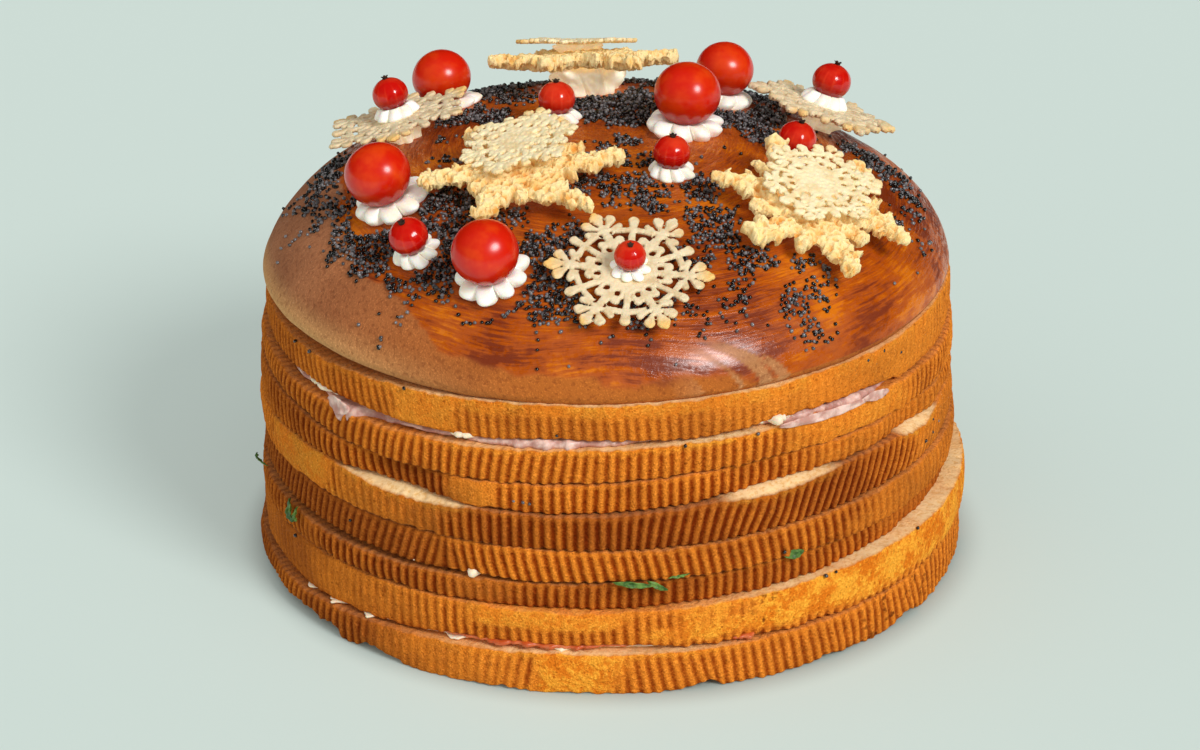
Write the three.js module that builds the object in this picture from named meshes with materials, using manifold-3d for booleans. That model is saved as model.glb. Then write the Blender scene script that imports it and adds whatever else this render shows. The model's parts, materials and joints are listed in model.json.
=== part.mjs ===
// Savoury panettone: a round loaf cut level into seven slices and a domed crown, stacked again
// over three fillings, and dressed with piped cream, tomatoes, currants and bread snowflakes.
// Millimetres, +Z up. The front of the loaf faces -Y, and angles round the loaf start there and
// grow towards +X. The origin is the middle of the foot.

import * as THREE from "three";
import { mergeVertices } from "three/addons/utils/BufferGeometryUtils.js";
import Module from "manifold-3d";

const wasm = await Module();
wasm.setup();

// Loaf

const LOAF_RADIUS = 92;
const LOAF_STEPS = 60;
const GAP = 0.3;
const CORNER_ROUND = 0.6;
const OVAL_SWELL = 0.5;

// Each cut has the height of its lower face at the middle, the rise towards +X, the wave of its
// edge, and the space that its filling holds open.
const CUTS = [
  { height: 0, lean: 0, wave: 0, waves: 1, crest: 0, open: 0 },
  { height: 10.4, lean: 3.0, wave: 1.2, waves: 3, crest: -15, open: 2.0 },
  { height: 22.3, lean: 3.2, wave: 0.4, waves: 3, crest: -33, open: GAP },
  { height: 29.2, lean: 2.6, wave: 0.5, waves: 3, crest: 20, open: 2.0 },
  { height: 38.8, lean: 2.2, wave: 0.3, waves: 3, crest: 55, open: GAP },
  { height: 49.0, lean: 3.2, wave: 1.1, waves: 4, crest: 38, open: GAP },
  { height: 56.4, lean: 1.2, wave: 1.6, waves: 3, crest: 33, open: GAP },
  { height: 64.8, lean: 1.8, wave: 1.1, waves: 3, crest: 19, open: 3.1 },
];
const SALMON_CUT = CUTS[1];
const GREENS_CUT = CUTS[3];
const HAM_CUT = CUTS[7];

// Slices from the foot up. A slice is set off its neighbours by its shift. A dent is where its
// side lies behind the slice below, and one of negative depth swells out.
const SLICES = [
  { radius: 91.9, shift: [1.3, 0], dents: [{ angle: 70, width: 60, depth: -1.5 }] },
  { radius: 90.8, shift: [1.2, 0.2], dents: [{ angle: 82, width: 60, depth: -4.0 }] },
  { radius: 89.3, shift: [0.35, -0.6], dents: [] },
  { radius: 90.4, shift: [1.75, 0.3], dents: [] },
  { radius: 90.2, shift: [0.7, 0], dents: [] },
  {
    radius: 89.5,
    shift: [0.75, 0.3],
    dents: [
      { angle: -35, width: 15, depth: 2.4 },
      { angle: 27, width: 14, depth: 2.2 },
      { angle: 58, width: 9, depth: 2.0 },
    ],
  },
  { radius: 89.2, shift: [1.25, 0.1], dents: [] },
];

// Crown: a band of crust below the rim, and the glazed dome on it. The band's edge falls away
// from the dome in a groove.
const BAND_RADIUS = 88.3;
const BAND_SHIFT = [1.2, 0.4];
const RIM_HEIGHT = 76.9;
const RIM_LEAN = 2.1;
const RIM_ROLL = 0.5;
const RIM_TUCK = 0.04;
const RIM_GROOVE = { angle: -66, width: 62, depth: 2.4 };
const DOME_RADIUS = 88.7;
const DOME_SHIFT = [0.75, 0.9];
const DOME_RISE = 34.4;
const DOME_ROUND = 0.81;
const DOME_CREST = 1.065;
const DOME_RINGS = 9;
const DOME_START = 3;
const SLOPE_STEP = 0.2;

// Poppy seeds on the dome
const SEED_RADIUS = 0.75;
const SEED_SINK = 0.1;
const SEED_SPOTS = 138;
const SEED_REACH = 80;
const SEED_JITTER = 1.6;
const SEED_CLEARANCE = 2.2;
const FRUIT_SPREAD = 1.3;

// Fillings

const FILLING_INSET = 1.8;
const CREAM_INSET = 1.4;
const TAB_THICKNESS = 0.35;
const TAB_ROOT = 6;
const TAB_CLEARANCE = 0.45;
const TAB_TAPER = 0.45;
const TAB_STEPS = { across: 2, along: 5 };
const LEAF_TIPS = [
  { angle: -58, width: 5, droop: 4.0 },
  { angle: -74, width: 4, droop: 2.2 },
  { angle: 7, width: 13, droop: 3.4 },
  { angle: 30, width: 6, droop: 3.2 },
];
const HAM_FLAPS = [
  { angle: -45, width: 8.5, droop: 3.4 },
  { angle: 44, width: 7, droop: 1.6 },
];

// Toppings

const TOMATO_SQUAT = 0.95;
const TOMATO_RINGS = 8;
const TOMATO_STEPS = 14;
const CURRANT_LATITUDES = [-55, -22, 10, 42];
const CURRANT_TUFT = { root: [0.2, 0.93], tip: [0.24, 1.2], hollow: 1.12 };
const CURRANT_STEPS = 10;

// Piped cream. A seat's widths and heights are shares of its radius and of its lip's height.
const SEAT_GAP = 0.45;
const SEAT_LIP = 0.72;
const SEAT_SIDE = { foot: 0.86, belly: [1, 0.42], shoulder: [0.92, 0.85] };
const SEAT_STAR = 0.07;
const DAB_SIDE = { foot: 0.88, belly: [1, 0.5], shoulder: 0.86 };
const DAB_STAR = 0.05;
const TOMATO_CREAM = { spread: 1.1, points: 8 };
const CURRANT_CREAM = { spread: 1.2, points: 6 };
const DAB_POINTS = 6;

const TOMATOES = [
  { foot: [-52.9, -26.8], radius: 8.24, rise: 9.5 },
  { foot: [-26.5, -62.9], radius: 8.14, rise: 9.4 },
  { foot: [20.9, 5.0], radius: 8.48, rise: 9.8 },
  { foot: [30.8, 31.4], radius: 7.53, rise: 8.9 },
  { foot: [-40.7, 35.4], radius: 7.69, rise: 8.1 },
];

// The numbers left out belong to the currants on the flat snowflakes.
const CURRANTS = [
  { number: 1, foot: [-45.5, -49.2], radius: 4.94, rise: 6.4 },
  { number: 3, foot: [16.8, -22.9], radius: 4.71, rise: 6.2 },
  { number: 4, foot: [-11.7, 11.4], radius: 4.84, rise: 6.3 },
  { number: 7, foot: [47.9, -6.7], radius: 4.94, rise: 6.4 },
];

// Thin snowflakes with a currant on a cream star. lift is the height of the underside over the
// dome, turn the angle of a long arm from +X, and pitch and roll how far the flake is turned from
// the dome's own slope, in degrees.
const LEVEL = { pitch: 0, roll: 0 };
const CURRANT_FLAKES = [
  {
    number: 1,
    foot: [6.2, -65.8],
    tilt: LEVEL,
    lift: 1.7,
    dab: 6,
    wafer: { radius: 20.3, thickness: 1.2, turn: -3 },
    currant: { number: 2, radius: 3.9, rise: 4.7 },
  },
  {
    number: 2,
    foot: [-51.4, 13.1],
    tilt: LEVEL,
    lift: 5.1,
    dab: 6.3,
    wafer: { radius: 20.5, thickness: 1.2, turn: 30 },
    currant: { number: 5, radius: 4.7, rise: 6.1 },
  },
  {
    number: 3,
    foot: [56, 26.8],
    tilt: LEVEL,
    lift: 4.0,
    dab: 6,
    wafer: { radius: 20.1, thickness: 1.8, turn: -2 },
    currant: { number: 6, radius: 5.1, rise: 6.8 },
  },
];

// Thick bread snowflakes that carry a thin one on a dab of cream.
const DOUBLE_FLAKES = [
  {
    number: 4,
    foot: [-19.7, -29.2],
    tilt: LEVEL,
    lift: 3.0,
    dab: 9.5,
    bread: { radius: 24.5, thickness: 4.0, turn: 6 },
    wafer: { radius: 16, thickness: 1.2, turn: 10, shift: [-0.8, 5.4], tilt: { pitch: 0, roll: -7 } },
  },
  {
    number: 5,
    foot: [50.3, -36.4],
    tilt: { pitch: 4, roll: 0 },
    lift: 3.0,
    dab: 9.5,
    bread: { radius: 25, thickness: 4.0, turn: -7 },
    wafer: { radius: 16.5, thickness: 1.2, turn: 20, shift: [0, 3.2], tilt: LEVEL },
  },
  {
    number: 6,
    foot: [-4, 38.8],
    tilt: { pitch: -9, roll: 0 },
    lift: 6.0,
    dab: 10.5,
    bread: { radius: 24.5, thickness: 4.0, turn: 3 },
    wafer: { radius: 16.5, thickness: 1.2, turn: 0, shift: [-2.4, 4.4], tilt: { pitch: -2, roll: 0 } },
  },
];
const TOP_LIFT = 2.0;
const TOP_DAB = 7;

// A snowflake's outline over one sixth of a turn, as shares of its radius against degrees from
// the long arm: the arm's tip and shoulder, the valley, and the short arm between two long ones.
const FLAKE_ARMS = 6;
const HALF_SECTOR = 30;
const FLAKE_OUTLINE = [
  { reach: 1.0, angle: 5.5 },
  { reach: 0.84, angle: 12 },
  { reach: 0.52, angle: 15 },
  { reach: 0.8, angle: 25.5 },
];
const FLAKE_HOLE = { inner: 0.38, outer: 0.66, angle: 30, width: 0.075 };
const CRUMB_JITTER = 0.7;

// Finishes as the photo shows them
const FINISH = {
  crust: { color: 0xb8722c, roughness: 0.75 },
  glaze: { color: 0x8a3f12, roughness: 0.35 },
  salmon: { color: 0xd86a3c, roughness: 0.5 },
  greens: { color: 0x3f6b2a, roughness: 0.5 },
  ham: { color: 0xc79a93, roughness: 0.5 },
  cream: { color: 0xf4ecdc, roughness: 0.45 },
  tomato: { color: 0xc4230f, roughness: 0.2 },
  currant: { color: 0xb01815, roughness: 0.2 },
  wafer: { color: 0xe6d3a8, roughness: 0.7 },
  bread: { color: 0xe9c98a, roughness: 0.85 },
};

const UP = new THREE.Vector3(0, 0, 1);
const radians = THREE.MathUtils.degToRad;

/** Repeatable random numbers from 0 to 1. */
function randomSource(seed) {
  let state = seed;
  return () => {
    state = (state * 1664525 + 1013904223) % 4294967296;
    return state / 4294967296;
  };
}

/** A smooth bump: 1 at the middle, 0 at the width and beyond. */
function bump(offset, width) {
  const share = Math.min(Math.abs(offset) / width, 1);
  return (1 + Math.cos(Math.PI * share)) / 2;
}

// Mesh helpers

/** Joins a geometry's shared corners and drops the triangles that have no area. */
function weld(geometry) {
  geometry.deleteAttribute("normal");
  geometry.deleteAttribute("uv");
  const welded = mergeVertices(geometry, 1e-4);
  const corners = welded.index.array;
  const kept = [];
  for (let i = 0; i < corners.length; i += 3) {
    const [a, b, c] = [corners[i], corners[i + 1], corners[i + 2]];
    if (a !== b && b !== c && c !== a) {
      kept.push(a, b, c);
    }
  }
  welded.setIndex(kept);
  return welded;
}

/** Moves every corner of a geometry to the place that a function gives for it. */
function reshape(geometry, place) {
  const position = geometry.getAttribute("position");
  const point = new THREE.Vector3();
  for (let i = 0; i < position.count; i += 1) {
    point.fromBufferAttribute(position, i);
    place(point);
    position.setXYZ(i, point.x, point.y, point.z);
  }
  return geometry;
}

/** A turned solid about Z from a list of radius and height pairs, bottom to top. */
function turned(rings, steps) {
  const profile = rings.map(([radius, height]) => new THREE.Vector2(radius, height));
  return weld(new THREE.LatheGeometry(profile, steps).rotateX(Math.PI / 2));
}

/** Fuses closed geometries into one. */
function fused(geometries) {
  const solids = geometries.map((geometry) => {
    const vertProperties = new Float32Array(geometry.getAttribute("position").array);
    const triVerts = new Uint32Array(geometry.index.array);
    return new wasm.Manifold(new wasm.Mesh({ numProp: 3, vertProperties, triVerts }));
  });
  const mesh = solids.reduce((whole, solid) => whole.add(solid)).getMesh();
  const geometry = new THREE.BufferGeometry();
  geometry.setAttribute("position", new THREE.BufferAttribute(mesh.vertProperties, 3));
  geometry.setIndex(new THREE.BufferAttribute(mesh.triVerts, 1));
  return geometry;
}

/** A named mesh with its own material. */
function piece(name, geometry, finish) {
  geometry.computeVertexNormals();
  const material = new THREE.MeshStandardMaterial({ metalness: 0, flatShading: true, ...finish });
  const mesh = new THREE.Mesh(geometry, material);
  mesh.name = name;
  return mesh;
}

// Loaf shapes

/** Height of a cut's lower face over a point. It grows evenly from the middle to the edge. */
function cutHeight(cut, x, y) {
  const share = Math.hypot(x, y) / LOAF_RADIUS;
  const angle = Math.atan2(x, -y);
  const wave = cut.wave * Math.cos(cut.waves * (angle - radians(cut.crest)));
  return cut.height + share * (cut.lean * Math.sin(angle) + wave);
}

/** Radius of a slice's side at an angle about the slice's own middle. */
function sideRadius(slice, angle) {
  const swell = OVAL_SWELL * Math.cos(2 * (angle + slice.radius));
  const dents = slice.dents.map(({ angle: middle, width, depth }) => {
    return depth * bump(angle - radians(middle), radians(width));
  });
  return slice.radius + swell - dents.reduce((sum, depth) => sum + depth, 0);
}

/** One slice between two cuts, its corners drawn in a little. */
function sliceGeometry(slice, below, above) {
  const inner = 1 - CORNER_ROUND / slice.radius;
  const rings = [[0, 0], [inner, 0], [1, 0.5], [inner, 1], [0, 1]];
  return reshape(turned(rings, LOAF_STEPS), (point) => {
    const angle = Math.atan2(point.x, -point.y);
    const radius = Math.hypot(point.x, point.y) * sideRadius(slice, angle);
    point.x = slice.shift[0] + radius * Math.sin(angle);
    point.y = slice.shift[1] - radius * Math.cos(angle);
    const low = cutHeight(below, point.x, point.y) + below.open;
    const high = cutHeight(above, point.x, point.y);
    point.z = low + point.z * (high - low);
  });
}

/** A filling between two heights over a cut, out to just inside the slice under it. */
function layerGeometry(slice, cut, low, high, inset) {
  const rings = [[0, 0], [1, 0], [1, 1], [0, 1]];
  return reshape(turned(rings, LOAF_STEPS), (point) => {
    const share = Math.hypot(point.x, point.y);
    const angle = Math.atan2(point.x, -point.y);
    const radius = share * (sideRadius(slice, angle) - inset);
    point.x = slice.shift[0] + radius * Math.sin(angle);
    point.y = slice.shift[1] - radius * Math.cos(angle);
    point.z = cutHeight(cut, point.x, point.y) + low + point.z * (high - low);
  });
}

/**
 * A leaf tip or flap: a tapered strip that leaves a filling level, turns over the edge of the
 * slice below and hangs down its side.
 */
function tabGeometry(slice, cut, height, { angle, width, droop }) {
  const turn = radians(angle);
  const edge = sideRadius(slice, turn) + TAB_CLEARANCE;
  const start = edge - TAB_ROOT;
  const length = TAB_ROOT + droop;
  const strip = weld(new THREE.BoxGeometry(1, 1, TAB_THICKNESS, TAB_STEPS.across, TAB_STEPS.along, 1));
  return reshape(strip, (point) => {
    const along = (point.y + 0.5) * length;
    const across = -point.x * width * (1 - TAB_TAPER * (point.y + 0.5) ** 2);
    const fall = Math.max(along - TAB_ROOT, 0) / droop;
    const bend = Math.min(fall * 2, 1) * Math.PI / 2;
    const out = Math.min(start + along, edge) + Math.sin(bend) * TAB_THICKNESS;
    const radius = out + point.z * Math.sin(bend);
    const rootX = slice.shift[0] + edge * Math.sin(turn);
    const rootY = slice.shift[1] - edge * Math.cos(turn);
    const level = cutHeight(cut, rootX, rootY) + height;
    const z = level - fall * droop + point.z * Math.cos(bend);
    point.x = slice.shift[0] + radius * Math.sin(turn) + across * Math.cos(turn);
    point.y = slice.shift[1] - radius * Math.cos(turn) + across * Math.sin(turn);
    point.z = z;
  });
}

/** The dome's surface over a point. */
function domeHeight(x, y) {
  const across = x - DOME_SHIFT[0];
  const share = Math.min(Math.hypot(across, y - DOME_SHIFT[1]) / DOME_RADIUS, 1);
  const rise = Math.sqrt(1 - share ** (2 / DOME_ROUND));
  const lean = RIM_LEAN * (across / DOME_RADIUS) * (1 - rise);
  return RIM_HEIGHT + lean + DOME_RISE * rise ** DOME_CREST;
}

/** The dome's outward direction over a point. */
function domeNormal(x, y) {
  const slopeX = (domeHeight(x + SLOPE_STEP, y) - domeHeight(x - SLOPE_STEP, y)) / (2 * SLOPE_STEP);
  const slopeY = (domeHeight(x, y + SLOPE_STEP) - domeHeight(x, y - SLOPE_STEP)) / (2 * SLOPE_STEP);
  return new THREE.Vector3(-slopeX, -slopeY, 1).normalize();
}

/** The crown without its seeds. Rings under zero height are the band, the others the dome. */
function crownGeometry() {
  const rings = [
    [0, -1],
    [BAND_RADIUS - CORNER_ROUND, -1],
    [BAND_RADIUS, -0.5],
    [BAND_RADIUS - RIM_ROLL, -RIM_TUCK],
  ];
  for (let ring = 0; ring <= DOME_RINGS; ring += 1) {
    const angle = radians(DOME_START + ((90 - DOME_START) * ring) / DOME_RINGS);
    const radius = ring === DOME_RINGS ? 0 : DOME_RADIUS * Math.cos(angle) ** DOME_ROUND;
    rings.push([radius, 1]);
  }
  return reshape(turned(rings, LOAF_STEPS), (point) => {
    if (point.z > 0) {
      point.x += DOME_SHIFT[0];
      point.y += DOME_SHIFT[1];
      point.z = domeHeight(point.x, point.y);
      return;
    }
    const offset = Math.atan2(point.x, -point.y) - radians(RIM_GROOVE.angle);
    point.x += BAND_SHIFT[0];
    point.y += BAND_SHIFT[1];
    const low = cutHeight(HAM_CUT, point.x, point.y) + HAM_CUT.open;
    const lean = (RIM_LEAN * (point.x - DOME_SHIFT[0])) / DOME_RADIUS;
    const rim = RIM_HEIGHT + lean - RIM_GROOVE.depth * bump(offset, radians(RIM_GROOVE.width));
    point.z = low + (1 + point.z) * (rim - low);
  });
}

/** Poppy seeds on an even spiral over the dome, left out where a topping stands. */
function seedGeometries(footprints) {
  const random = randomSource(24);
  const goldenTurn = Math.PI * (3 - Math.sqrt(5));
  const seeds = [];
  for (let spot = 0; spot < SEED_SPOTS; spot += 1) {
    const reach = SEED_REACH * Math.sqrt((spot + 0.5) / SEED_SPOTS);
    const x = reach * Math.cos(spot * goldenTurn) + (random() - 0.5) * SEED_JITTER;
    const y = reach * Math.sin(spot * goldenTurn) + (random() - 0.5) * SEED_JITTER;
    const covered = footprints.some(({ foot, radius }) => {
      return Math.hypot(x - foot[0], y - foot[1]) < radius + SEED_CLEARANCE;
    });
    if (covered) {
      continue;
    }
    const seed = weld(new THREE.IcosahedronGeometry(SEED_RADIUS, 0));
    const turn = new THREE.Euler(random() * Math.PI, random() * Math.PI, random() * Math.PI);
    const middle = new THREE.Vector3(x, y, domeHeight(x, y));
    middle.addScaledVector(domeNormal(x, y), -SEED_SINK);
    const place = new THREE.Matrix4().makeRotationFromEuler(turn).setPosition(middle);
    seeds.push(seed.applyMatrix4(place));
  }
  return seeds;
}

// Topping shapes

/** Draws a turned cream piece into a piped star: outside its core, every other corner lies deeper. */
function star(geometry, points, depth, core) {
  return reshape(geometry, (point) => {
    if (Math.hypot(point.x, point.y) <= core) {
      return;
    }
    const scale = 1 + depth * Math.cos(points * Math.atan2(point.x, -point.y));
    point.x *= scale;
    point.y *= scale;
  });
}

/** A piped cream star with a hollow that a fruit sits in. rise is the fruit's middle. */
function creamSeat({ spread, points }, fruit, rise) {
  const radius = spread * fruit;
  const dish = (reach) => rise - Math.sqrt((fruit + SEAT_GAP) ** 2 - reach ** 2);
  const lip = SEAT_LIP * fruit;
  const { foot, belly, shoulder } = SEAT_SIDE;
  const rings = [
    [0, 0],
    [foot * radius, 0],
    [belly[0] * radius, belly[1] * dish(lip)],
    [shoulder[0] * radius, shoulder[1] * dish(lip)],
    [lip, dish(lip)],
    [lip / 2, dish(lip / 2)],
    [0, dish(0)],
  ];
  const core = (lip + foot * radius) / 2;
  return star(turned(rings, 2 * points), points, SEAT_STAR, core);
}

/** A low dab of cream whose top follows the slope of what it carries. */
function creamDab(radius, height, slope) {
  const { foot, belly, shoulder } = DAB_SIDE;
  const shares = [[0, 0], [foot, 0], belly, [shoulder, 1], [0, 1]];
  const rings = shares.map(([reach, level]) => [reach * radius, level]);
  const dab = star(turned(rings, 2 * DAB_POINTS), DAB_POINTS, DAB_STAR, 0);
  return reshape(dab, (point) => {
    const top = height - (slope.x * point.x + slope.y * point.y) / slope.z;
    point.z *= top;
  });
}

/** A cherry tomato, a little flatter than a ball. */
function tomatoGeometry(radius) {
  const rings = [];
  for (let ring = 0; ring <= TOMATO_RINGS; ring += 1) {
    const angle = Math.PI * (ring / TOMATO_RINGS - 0.5);
    const reach = ring % TOMATO_RINGS === 0 ? 0 : radius * Math.cos(angle);
    rings.push([reach, radius * TOMATO_SQUAT * Math.sin(angle)]);
  }
  return turned(rings, TOMATO_STEPS);
}

/** A currant with the dry tuft of its flower on top. */
function currantGeometry(radius) {
  const sides = CURRANT_LATITUDES.map((degrees) => [Math.cos(radians(degrees)), Math.sin(radians(degrees))]);
  const { root, tip, hollow } = CURRANT_TUFT;
  const shares = [[0, -1], ...sides, root, tip, [0, hollow]];
  const rings = shares.map(([reach, height]) => [reach * radius, height * radius]);
  return turned(rings, CURRANT_STEPS);
}

/** A flat snowflake with long and short arms, and slots between the arms where it is pierced. */
function flakeGeometry(radius, thickness, pierced) {
  const outline = [];
  const slots = [];
  const at = (reach, degrees) => {
    const direction = new THREE.Vector2(Math.cos(radians(degrees)), Math.sin(radians(degrees)));
    return direction.multiplyScalar(reach * radius);
  };
  for (let arm = 0; arm < FLAKE_ARMS; arm += 1) {
    const middle = arm * 2 * HALF_SECTOR;
    for (const { reach, angle } of FLAKE_OUTLINE) {
      outline.push(at(reach, middle + angle));
    }
    for (const { reach, angle } of [...FLAKE_OUTLINE].reverse()) {
      outline.push(at(reach, middle + 2 * HALF_SECTOR - angle));
    }
    const across = at(FLAKE_HOLE.width, middle + FLAKE_HOLE.angle + 90);
    const waist = at((FLAKE_HOLE.inner + FLAKE_HOLE.outer) / 2, middle + FLAKE_HOLE.angle);
    slots.push([
      at(FLAKE_HOLE.inner, middle + FLAKE_HOLE.angle),
      waist.clone().sub(across),
      at(FLAKE_HOLE.outer, middle + FLAKE_HOLE.angle),
      waist.clone().add(across),
    ]);
  }
  const shape = new THREE.Shape(outline);
  if (pierced) {
    shape.holes = slots.map((slot) => new THREE.Path(slot));
  }
  return weld(new THREE.ExtrudeGeometry(shape, { depth: thickness, bevelEnabled: false }));
}

/** A thick snowflake torn from bread: the flat one with every edge a little out of line. */
function breadFlakeGeometry(radius, thickness, seed) {
  const random = randomSource(seed);
  return reshape(flakeGeometry(radius, thickness, false), (point) => {
    point.x += (random() - 0.5) * CRUMB_JITTER;
    point.y += (random() - 0.5) * CRUMB_JITTER;
    point.z += (point.z > 0 ? -1 : 1) * random() * CRUMB_JITTER;
  });
}

// Placing

/** A group that stands square on the dome at a foot point, clear of it. */
function onDome([x, y], ...children) {
  const normal = domeNormal(x, y);
  const group = new THREE.Group();
  group.position.set(x, y, domeHeight(x, y)).addScaledVector(normal, GAP);
  group.quaternion.setFromUnitVectors(UP, normal);
  group.add(...children);
  return group;
}

/** A group raised over its parent and tilted by a pitch and a roll in degrees. */
function raised(lift, { pitch, roll }, ...children) {
  const group = new THREE.Group();
  group.position.z = lift;
  group.rotation.set(radians(pitch), radians(roll), 0);
  group.add(...children);
  return group;
}

/** The upward direction of a raised group in its parent. */
function raisedUp({ pitch, roll }) {
  return UP.clone().applyEuler(new THREE.Euler(radians(pitch), radians(roll), 0));
}

/** A mesh turned about its own upright axis, in degrees. */
function spun(mesh, degrees) {
  mesh.rotation.z = radians(degrees);
  return mesh;
}

// Assembly

/** The seven slices. */
function slices() {
  return SLICES.map((slice, index) => {
    const geometry = sliceGeometry(slice, CUTS[index], CUTS[index + 1]);
    return piece(`slice_${index + 1}`, geometry, FINISH.crust);
  });
}

/**
 * A filling and the cream spread with it share one cut in equal layers. The cream lies on the
 * filling, or under it where creamUnder is set.
 */
function filling({ names, slice, cut, tabs, finish, creamUnder }) {
  const depth = (cut.open - 3 * GAP) / 2;
  const levels = [GAP, 2 * GAP + depth];
  const [fillingLow, creamLow] = creamUnder ? levels.reverse() : levels;
  const body = layerGeometry(slice, cut, fillingLow, fillingLow + depth, FILLING_INSET);
  const tips = tabs.map((tab) => tabGeometry(slice, cut, fillingLow + depth / 2, tab));
  const cream = layerGeometry(slice, cut, creamLow, creamLow + depth, CREAM_INSET);
  return [piece(names[0], fused([body, ...tips]), finish), piece(names[1], cream, FINISH.cream)];
}

/** The three fillings that show at the side. */
function fillings() {
  return [
    ...filling({
      names: ["salmon_layer", "cream_layer_1"],
      slice: SLICES[0],
      cut: SALMON_CUT,
      tabs: [],
      finish: FINISH.salmon,
      creamUnder: true,
    }),
    ...filling({
      names: ["greens_layer", "cream_layer_2"],
      slice: SLICES[2],
      cut: GREENS_CUT,
      tabs: LEAF_TIPS,
      finish: FINISH.greens,
      creamUnder: false,
    }),
    ...filling({
      names: ["ham_layer", "cream_layer_3"],
      slice: SLICES[6],
      cut: HAM_CUT,
      tabs: HAM_FLAPS,
      finish: FINISH.ham,
      creamUnder: false,
    }),
  ];
}

/** The crown with its seeds fused on, clear of every topping. */
function crown() {
  const fruits = [...TOMATOES, ...CURRANTS];
  const standing = fruits.map(({ foot, radius }) => ({ foot, radius: FRUIT_SPREAD * radius }));
  const thin = CURRANT_FLAKES.map(({ foot, wafer }) => ({ foot, radius: wafer.radius }));
  const thick = DOUBLE_FLAKES.map(({ foot, bread }) => ({ foot, radius: bread.radius }));
  const seeds = seedGeometries([...standing, ...thin, ...thick]);
  return piece("crown", fused([crownGeometry(), ...seeds]), FINISH.glaze);
}

/** Tomatoes, each in its cream star. */
function tomatoes() {
  return TOMATOES.map(({ foot, radius, rise }, index) => {
    const cream = creamSeat(TOMATO_CREAM, radius, rise);
    const tomato = piece(`tomato_${index + 1}`, tomatoGeometry(radius), FINISH.tomato);
    tomato.position.z = rise;
    return onDome(foot, piece(`cream_tomato_${index + 1}`, cream, FINISH.cream), tomato);
  });
}

/** A currant in its cream star, standing on the level it is given. */
function seatedCurrant({ number, radius, rise }, level) {
  const cream = creamSeat(CURRANT_CREAM, radius, rise);
  const seat = piece(`cream_currant_${number}`, cream, FINISH.cream);
  const currant = piece(`currant_${number}`, currantGeometry(radius), FINISH.currant);
  seat.position.z = level;
  currant.position.z = level + rise;
  return [seat, currant];
}

/** Currants that stand on the dome. */
function currants() {
  return CURRANTS.map((currant) => onDome(currant.foot, ...seatedCurrant(currant, 0)));
}

/** The dab of cream that holds a snowflake on the dome. */
function flakeDab({ number, dab, lift, tilt }) {
  const geometry = creamDab(dab, lift - GAP, raisedUp(tilt));
  return piece(`cream_flake_${number}`, geometry, FINISH.cream);
}

/** A thin snowflake. */
function waferPiece(number, { radius, thickness, turn }) {
  return spun(piece(`wafer_${number}`, flakeGeometry(radius, thickness, true), FINISH.wafer), turn);
}

/** Thin snowflakes, each with a currant on it. */
function currantFlakes() {
  return CURRANT_FLAKES.map((flake) => {
    const wafer = waferPiece(flake.number, flake.wafer);
    const fruit = seatedCurrant(flake.currant, flake.wafer.thickness + GAP);
    return onDome(flake.foot, flakeDab(flake), raised(flake.lift, flake.tilt, wafer, ...fruit));
  });
}

/** Thick bread snowflakes, each with a thin one on top. */
function doubleFlakes() {
  return DOUBLE_FLAKES.map((flake) => {
    const { number, bread, wafer } = flake;
    const breadShape = breadFlakeGeometry(bread.radius, bread.thickness, number);
    const breadPiece = spun(piece(`bread_flake_${number}`, breadShape, FINISH.bread), bread.turn);
    const dabShape = creamDab(TOP_DAB, TOP_LIFT - GAP, raisedUp(wafer.tilt));
    const dab = piece(`cream_between_${number}`, dabShape, FINISH.cream);
    const upper = raised(bread.thickness + GAP, LEVEL, dab);
    upper.position.x = wafer.shift[0];
    upper.position.y = wafer.shift[1];
    upper.add(raised(TOP_LIFT, wafer.tilt, waferPiece(number, wafer)));
    return onDome(flake.foot, flakeDab(flake), raised(flake.lift, flake.tilt, breadPiece, upper));
  });
}

const panettone = new THREE.Group();
panettone.add(
  ...slices(),
  ...fillings(),
  crown(),
  ...tomatoes(),
  ...currants(),
  ...currantFlakes(),
  ...doubleFlakes(),
);

const box = new THREE.Box3().setFromObject(panettone, true);
const middle = box.getCenter(new THREE.Vector3());
panettone.position.set(-middle.x, -middle.y, -box.min.z);
panettone.updateMatrixWorld(true);

export default panettone;
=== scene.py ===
"""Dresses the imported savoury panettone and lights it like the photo.

The loaf's slices, crown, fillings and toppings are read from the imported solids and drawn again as
fine surfaces in the same places. Metres, +Z up, the front faces -Y. Angles round the loaf start at
the front and grow towards +X.
"""

from __future__ import annotations

import json
import logging
from dataclasses import dataclass, field
from enum import Enum
from typing import Sequence

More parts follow.
